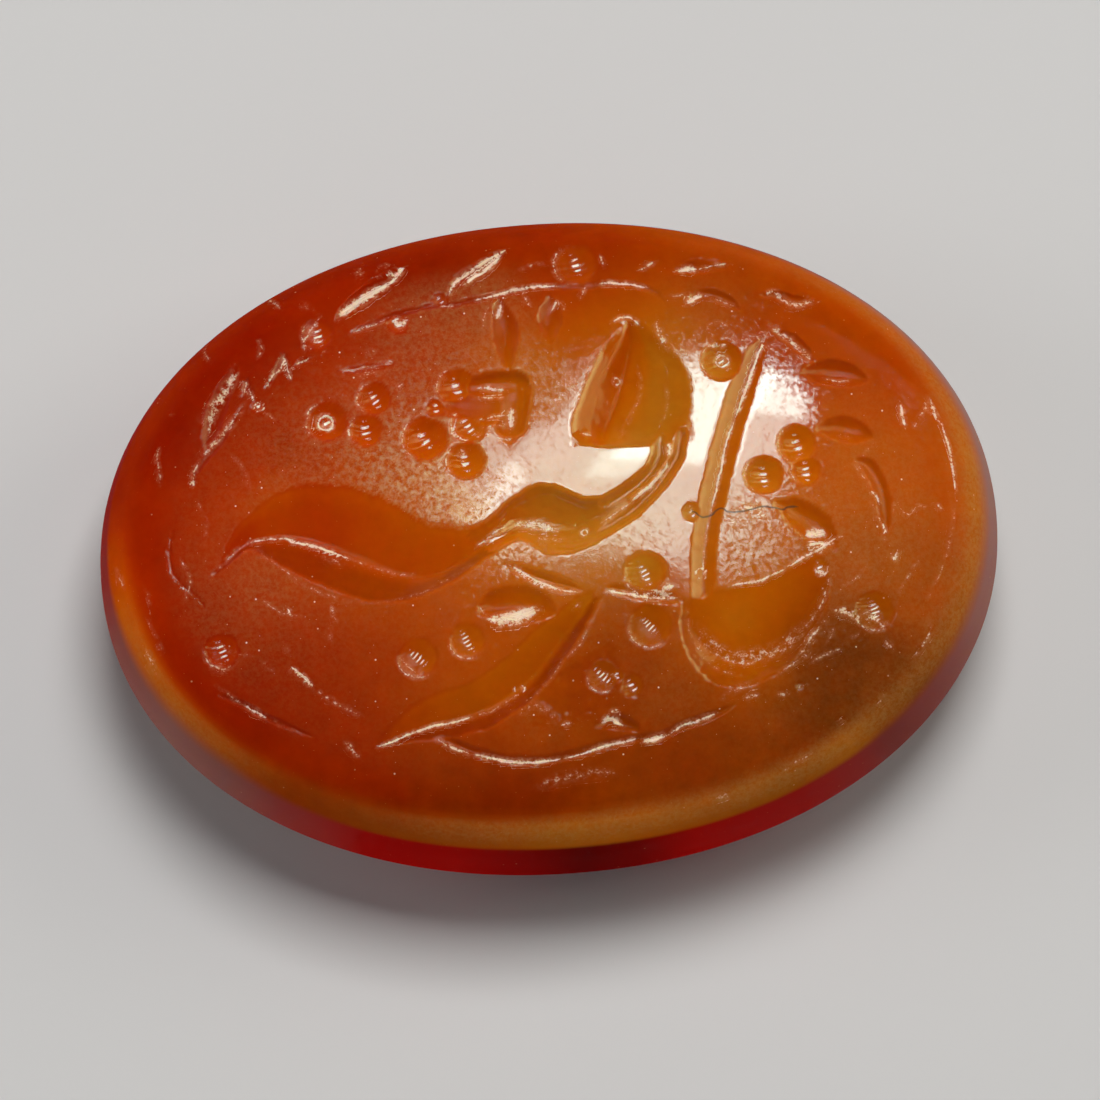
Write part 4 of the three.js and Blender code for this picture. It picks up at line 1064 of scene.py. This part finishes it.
# The stone's colour: warmth runs from red to honey. The low layer is a clear red, partly the stone's own
# and partly a painted glow of light through the edge, and the rim sheen mixes in a painted pale reflection
def makeBodyGroup():
    tree, nodes, given, result = newGroup(
        "carnelianBody", ("Warmth", "Lightness", "Low", "RimSheen", "Place"), ("Colour",))
    place, dullAndSheen = given["Place"], given["RimSheen"]
    clouds = nodes.uneven(place, *body["clouds"])
    warmth = nodes.timesPlus(clouds, body["cloudWarmth"], given["Warmth"])
    ramp = nodes.add("ValToRGB", {}, {0: warmth})
    stops = ramp[0].node.color_ramp.elements
    stops[0].position, stops[0].color = 0.0, body["red"]
    stops[1].position, stops[1].color = 1.0, body["honey"]
    for name, spot in body["stops"].items():
        stops.new(spot).color = body[name]
    flecks = nodes.uneven(place, *body["flecks"])
    lit = nodes.lit(ramp[0], nodes.timesPlus(flecks, body["fleckLight"], given["Lightness"]))
    height = nodes.add("SeparateXYZ", {}, {0: place})[2]
    # The low band: its red and painted glow, turned towards the painted pale reflection, then made lighter
    # or darker by painted glow and shade
    lowColour = nodes.lit(nodes.mix(dullAndSheen, body["lowRedAndGlow"], body["rimSheenColour"]), given["Low"])
    under, over = body["layerBand"]
    dullUnder, dullOver = body["sheenBand"]
    lowEdge = nodes.timesPlus(dullAndSheen, -dullUnder, body["layerHeight"] - under)
    highEdge = nodes.timesPlus(dullAndSheen, dullOver, body["layerHeight"] + over)
    layer = nodes.remap(height, lowEdge, highEdge, 1.0, 0.0)
    nodes.put(nodes.mix(layer, lit, lowColour), result[0])
    return tree


frosted = {
    "grains": (20.0, 3.0, 0.6, 0.3, 0.7),
    "clumps": (7.0, 2.0, 0.5, 0.3, 0.7),
    "lineWidths": (0.04, 0.78),    # where a line starts to fade and where it ends, in widths
    "rimShare": 0.2,
    "grainShare": 0.45,
    "clumpShare": 0.4,
    "solidFrom": (0.8, 1.36),
    "acrossStretch": (34.0, 34.0, 34.0),
    "alongScale": 3.5,
    "streaks": (1.0, 3.0, 0.6, 0.36, 0.58, 0.6, 1.0),
    "density": (0.65, 0.4),        # more with the line's strength, and at least
    "haloStart": 0.15,
    "haloEnd": (0.5, 0.07),        # widths, and millimetres more
    "haloMost": 0.5,
    "haloGrains": (0.9, 0.4),
}


# Bruised, frosted lines and painted highlight lines: solid where strong, broken into fine grains where weak
def makeFrostAndHighlightGroup():
    tree, nodes, given, result = newGroup(
        "frostAndHighlights", ("Gap", "Width", "Strength", "Edge", "Place"), ("Mask", "Height"))
    place, width, strength = given["Place"], given["Width"], given["Strength"]
    away = nodes.math("ABSOLUTE", given["Gap"])
    core, edge = (nodes.times(width, share) for share in frosted["lineWidths"])
    line = nodes.times(nodes.remap(away, core, edge, 1.0, 0.0), strength)
    amount = nodes.most(line, nodes.times(given["Edge"], frosted["rimShare"]))
    grains = nodes.cloudy(place, *frosted["grains"])
    clumps = nodes.cloudy(place, *frosted["clumps"])
    total = nodes.timesPlus(clumps, frosted["clumpShare"], amount)
    total = nodes.timesPlus(grains, frosted["grainShare"], total)
    along = nodes.vector("SCALE", {0: place, 3: frosted["alongScale"]})
    along = nodes.vector("MULTIPLY_ADD", {0: given["Gap"], 1: frosted["acrossStretch"], 2: along})
    streaks = nodes.cloudy(along, *frosted["streaks"])
    mask = nodes.times(nodes.remap(total, *frosted["solidFrom"]), streaks)
    mask = nodes.times(mask, nodes.timesPlus(amount, *frosted["density"]))
    haloStart = nodes.times(width, frosted["haloStart"])
    haloEnd = nodes.timesPlus(width, *frosted["haloEnd"])
    halo = nodes.remap(away, haloStart, haloEnd, frosted["haloMost"], 0.0)
    halo = nodes.times(halo, nodes.math("POWER", strength, 2.0))
    speckled = nodes.timesPlus(grains, *frosted["haloGrains"])
    mask = nodes.most(mask, nodes.times(halo, nodes.times(clumps, speckled)))
    nodes.put(mask, result[0])
    nodes.put(nodes.times(mask, grains), result[1])
    return tree


nickEdge = {"solid": 0.03, "gone": 0.09}


# Small stray nicks in the polish
def makeNickGroup():
    tree, nodes, given, result = newGroup("nicks", ("Place", "Scale", "Share"), ("Mask",))
    cells = nodes.add("TexVoronoi", {"feature": "F1"}, {"Vector": given["Place"], "Scale": given["Scale"]})
    chance = nodes.add("SeparateColor", {}, {0: cells["Color"]})[0]
    chosen = nodes.math("LESS_THAN", chance, given["Share"])
    near = nodes.remap(cells["Distance"], nickEdge["solid"], nickEdge["gone"], 1.0, 0.0)
    nodes.put(nodes.times(chosen, near), result[0])
    return tree


bodyGroup = makeBodyGroup()
frostAndHighlightGroup = makeFrostAndHighlightGroup()
nickGroup = makeNickGroup()

polished = {
    # The film's colour stands for dust and for a painted pale sheen on the worn polish
    "dustAndSheenColour": (0.52, 0.38, 0.12, 1),
    # Colour of frost and of painted highlight strokes
    "frostAndHighlightColour": (1.0, 0.8, 0.58, 1),
    "bruiseColour": (1.0, 0.56, 0.28, 1),
    # Colour of the painted highlights in the pits
    "glintColour": (0.97, 0.84, 0.68, 1),
    "crackColour": (0.13, 0.06, 0.025, 1),
    "patches": (0.9, 3.0, 0.6, 0.42, 0.62),
    "scratchesIn": (55, 0.6, 0.7),    # degrees and limits, inside the patches
    "scratchesOut": (118, 0.62, 0.72),
    "scratchStretch": (1.6, 22.0, 1.6),
    "scratchNoise": (1.0, 3.0, 0.6),
    "blotches": (9.5, 6.0, 0.75, 0.35, 0.66),
    "blotchDust": 0.42,
    "scratchDust": (0.2, 0.12),
    "nicks": (3.2, 0.36, 0.8),        # scale, share of the cells, strength
    "dots": (8.0, 0.45, 0.5),
    "ringWidth": 0.14,
    "specks": (22.0, 4.0, 0.75, 0.3, 0.7),
    "glintSpecks": 0.5,
    "glintLimits": (0.55, 0.95),
    "glintRings": (0.1, 0.8),
    "crackLine": (0.006, 0.034, 0.85, 0.0),
    "paleFrom": (0.1, 0.6),
    "haze": (1.3, 5.0, 0.65, 0.3, 0.7, 0.28, 0.45),
    "paleRoughness": 0.6,
    "speckWear": 0.35,
    "blotchWear": 0.6,
    "wholeFrom": (0.6, 1.35),
    "scratchLoss": -0.35,
    "paleCoatLoss": -0.65,
    "grain": (16.0, 3.0, 0.7),
    "grainHeight": 0.1,
    "bits": (20.0, 2.0, 0.6),
    "bitHeight": 1.8,
    "ringHeight": 0.5,
    "bump": {"Strength": 1.0, "Distance": 0.012 * mm},
    "shader": {
        "Coat Roughness": 0.05,
        "Coat IOR": 1.5,
        "IOR": 1.54,
        "Specular IOR Level": 0.0,
        "Subsurface Weight": 0.5,
        "Subsurface Radius": (1.0, 0.35, 0.1),
        "Subsurface Scale": 0.5 * mm,
    },
}


# Fine scratches that all run one way
def scratches(nodes, place, degrees, *limits):
    turned = nodes.add("VectorRotate", {"rotation_type": "Z_AXIS"},
                       {"Vector": place, "Angle": math.radians(degrees)})[0]
    stretched = nodes.vector("MULTIPLY", {0: turned, 1: polished["scratchStretch"]})
    return nodes.cloudy(stretched, *polished["scratchNoise"], *limits)


def makePolished():
    material, shader = newMaterial("polishedCarnelian", polished["shader"])
    nodes = Nodes(material.node_tree)
    where = nodes.add("TexCoord", {}, {})["Object"]
    place = nodes.vector("SCALE", {0: where, 3: 1 / mm})
    colour = nodes.group(bodyGroup, {
        "Warmth": nodes.attribute("warmth"), "Lightness": nodes.attribute("lightness"),
        "Low": nodes.attribute("lowLight"), "RimSheen": nodes.attribute("dullAndSheen"), "Place": place})[0]

    # Dust and scratches where the polish is worn, and a painted pale sheen in the same film
    patches = nodes.cloudy(place, *polished["patches"])
    inside = nodes.times(scratches(nodes, place, *polished["scratchesIn"]), patches)
    outside = scratches(nodes, place, *polished["scratchesOut"])
    outside = nodes.times(outside, nodes.math("SUBTRACT", 1.0, patches))
    scraped = nodes.most(inside, outside)
    blotches = nodes.cloudy(place, *polished["blotches"])
    dust = nodes.timesPlus(scraped, *polished["scratchDust"])
    dust = nodes.timesPlus(blotches, polished["blotchDust"], dust)
    withDustAndSheen = nodes.mix(nodes.times(nodes.attribute("dustAndSheen"), dust), colour, polished["dustAndSheenColour"])

    # Frosted strokes, painted highlight strokes and stray nicks
    frostAndHighlight = nodes.group(frostAndHighlightGroup, {
        "Gap": nodes.attribute("frostGap"), "Width": nodes.attribute("frostWidth"),
        "Strength": nodes.attribute("frostStrength"), "Edge": nodes.attribute("edgeFrost"), "Place": place})
    nickScale, nickShare, nickStrength = polished["nicks"]
    dotScale, dotShare, dotStrength = polished["dots"]
    nicks = nodes.group(nickGroup, {"Place": place, "Scale": nickScale, "Share": nickShare})[0]
    dots = nodes.group(nickGroup, {"Place": place, "Scale": dotScale, "Share": dotShare})[0]
    loose = nodes.most(nodes.times(nicks, nickStrength), nodes.times(dots, dotStrength))
    white = nodes.most(frostAndHighlight["Mask"], nodes.times(loose, nodes.attribute("loose")))

    # Turned rings break up the glints in the pits. The glints are painted highlights, pale strokes mixed
    # into the colour
    turns = nodes.times(nodes.attribute("toolMark"), 2 * math.pi / polished["ringWidth"])
    mark = nodes.math("SINE", turns)
    specks = nodes.cloudy(place, *polished["specks"])
    glint = nodes.timesPlus(specks, polished["glintSpecks"], nodes.attribute("glint"))
    glint = nodes.remap(glint, *polished["glintLimits"])
    glint = nodes.times(glint, nodes.remap(mark, *polished["glintRings"]))
    crack = nodes.remap(nodes.math("ABSOLUTE", nodes.attribute("crackGap")), *polished["crackLine"])
    solid = nodes.remap(white, *polished["paleFrom"])
    pale = nodes.mix(solid, polished["bruiseColour"], polished["frostAndHighlightColour"])
    shining = nodes.mix(glint, nodes.mix(white, withDustAndSheen, pale), polished["glintColour"])
    nodes.put(nodes.mix(crack, shining, polished["crackColour"]), shader["Base Color"])

    # The coat is the polish, and it thins where the stone is worn, frosted, cracked or painted with
    # highlight strokes
    haze = nodes.cloudy(place, *polished["haze"])
    rough = nodes.add("Mix", {"data_type": "FLOAT"}, {0: white, 2: haze, 3: polished["paleRoughness"]})
    nodes.put(rough[0], shader["Roughness"])
    wear = nodes.timesPlus(specks, polished["speckWear"], nodes.times(blotches, polished["blotchWear"]))
    whole = nodes.remap(nodes.math("ADD", wear, nodes.attribute("polish")), *polished["wholeFrom"])
    whole = nodes.times(whole, nodes.timesPlus(scraped, polished["scratchLoss"], 1.0))
    coat = nodes.times(whole, nodes.attribute("gloss"))
    unbroken = nodes.timesPlus(nodes.most(white, crack), polished["paleCoatLoss"], 1.0)
    nodes.put(nodes.times(coat, unbroken), shader["Coat Weight"])

    grain = nodes.times(nodes.noise(place, *polished["grain"]), polished["grainHeight"])
    height = nodes.math("ADD", grain, frostAndHighlight["Height"])
    nodes.put(nodes.add("Bump", {}, {**polished["bump"], "Height": height})[0], shader["Normal"])

    # What the polish mirrors breaks up over turned rings, cutting grain and fine scratches
    rings = nodes.times(mark, nodes.times(nodes.attribute("toolStrength"), polished["ringHeight"]))
    bits = nodes.uneven(place, *polished["bits"])
    sparkle = nodes.times(bits, nodes.times(nodes.attribute("sparkle"), polished["bitHeight"]))
    relief = nodes.math("ADD", rings, sparkle)
    nodes.put(nodes.add("Bump", {}, {**polished["bump"], "Height": relief})[0], shader["Coat Normal"])
    return material


gem = buildStone()
gem.data.materials.append(makePolished())
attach(gem, "root")
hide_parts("gem")
print("stone dressed")

studio = {
    "floorHalf": 1.5,
    "floor": {"Base Color": (0.66, 0.65, 0.64, 1), "Roughness": 0.9, "Specular IOR Level": 0.1},
    "worldColour": (0.97, 0.98, 1.0, 1),
    "worldBand": (0.15, 0.5),
    "worldLight": (0.6, 0.04),    # below and above that band
    "lampsAim": (0, 0, 0.005),
}


def makeFloor():
    half = studio["floorHalf"]
    corners = [(-half, -half, 0), (half, -half, 0), (half, half, 0), (-half, half, 0)]
    mesh = bpy.data.meshes.new("floor")
    mesh.from_pydata(corners, [], [(0, 1, 2, 3)])
    floor = placeObject("floor", mesh)
    mesh.materials.append(newMaterial("palePaper", studio["floor"])[0])


def makeWorld():
    world = bpy.data.worlds.new("studio")
    world.use_nodes = True
    nodes = Nodes(world.node_tree)
    background = world.node_tree.nodes["Background"].inputs
    sky = nodes.add("TexCoord", {}, {})["Generated"]
    up = nodes.add("SeparateXYZ", {}, {0: sky})[2]
    nodes.put(nodes.remap(up, *studio["worldBand"], *studio["worldLight"]), background["Strength"])
    nodes.put(studio["worldColour"], background["Color"])
    bpy.context.scene.world = world


# Rectangular soft lamps: (place, size, radiance, colour). Radiance is a lamp's brightness when it
# is mirrored in the polish. The mirrored lamps light no body, and the others aren't mirrored
keyColour = (0.78, 1.0, 0.92)
fadeColour = (0.9, 1.0, 0.5)
mirroredLamps = {
    "keySoftbox": ((0.045, 0.097, 0.3), (0.106, 0.122), 11.6, keyColour),
    "keyFadeOne": ((-0.017, 0.095, 0.301), (0.02, 0.118), 8.6, keyColour),
    "keyFadeTwo": ((-0.036, 0.093, 0.302), (0.02, 0.112), 5.4, fadeColour),
    "keyFadeThree": ((-0.055, 0.091, 0.303), (0.02, 0.106), 3.0, fadeColour),
    "keyFadeFour": ((-0.074, 0.089, 0.304), (0.02, 0.1), 1.2, fadeColour),
    "keyCore": ((0.046, 0.122, 0.299), (0.034, 0.06), 12.0, keyColour),
    "keyCoreRight": ((0.077, 0.135, 0.299), (0.028, 0.034), 12.0, keyColour),
    "keyCoreLow": ((0.021, 0.094, 0.299), (0.016, 0.016), 6.0, keyColour),
    "sheenRight": ((0.23, 0.06, 0.19), (0.24, 0.26), 7.0, (0.85, 1.0, 0.4)),
}
bodyLamps = {
    "keyFill": ((0.035, 0.097, 0.305), (0.126, 0.122), 14.5, (1, 1, 1)),
    "sideRight": ((0.23, 0.06, 0.19), (0.14, 0.16), 3.0, (1.0, 0.97, 0.9)),
    "sideLeft": ((-0.24, 0.02, 0.15), (0.14, 0.16), 1.8, (1, 1, 1)),
}


def hangLamps(lamps, mirrored):
    for name, (place, size, radiance, colour) in lamps.items():
        data = bpy.data.lights.new(name, "AREA")
        data.color = colour
        data.shape = "RECTANGLE"
        data.size, data.size_y = size
        data.energy = radiance * math.pi * size[0] * size[1]
        lamp = placeObject(name, data)
        lamp.location = place
        lamp.rotation_mode = "QUATERNION"
        lamp.rotation_quaternion = (Vector(place) - Vector(studio["lampsAim"])).to_track_quat("Z", "Y")
        lamp.visible_glossy = mirrored
        lamp.visible_diffuse = not mirrored


view = {
    "lens": 441.0,
    "distance": 0.3,
    "tilt": math.radians(12.5),
    "roll": math.radians(4.11),
    "target": (0.025, -0.034, 3.0),
    "clip": (0.01, 10),
}


def makeCamera():
    tilt, roll = view["tilt"], view["roll"]
    back = Vector((0, -math.sin(tilt), math.cos(tilt)))
    right = Vector((1, 0, 0))
    up = back.cross(right)
    turnedRight = right * math.cos(roll) - up * math.sin(roll)
    turnedUp = up * math.cos(roll) + right * math.sin(roll)
    data = bpy.data.cameras.new("camera")
    data.lens = view["lens"]
    data.clip_start, data.clip_end = view["clip"]
    camera = placeObject("camera", data)
    turn = Matrix((turnedRight, turnedUp, back)).transposed().to_4x4()
    turn.translation = Vector(view["target"]) * mm + back * view["distance"]
    camera.matrix_world = turn
    bpy.context.scene.camera = camera


makeFloor()
makeWorld()
hangLamps(mirroredLamps, True)
hangLamps(bodyLamps, False)
makeCamera()
bpy.context.scene.view_settings.view_transform = "Standard"
print("studio set")
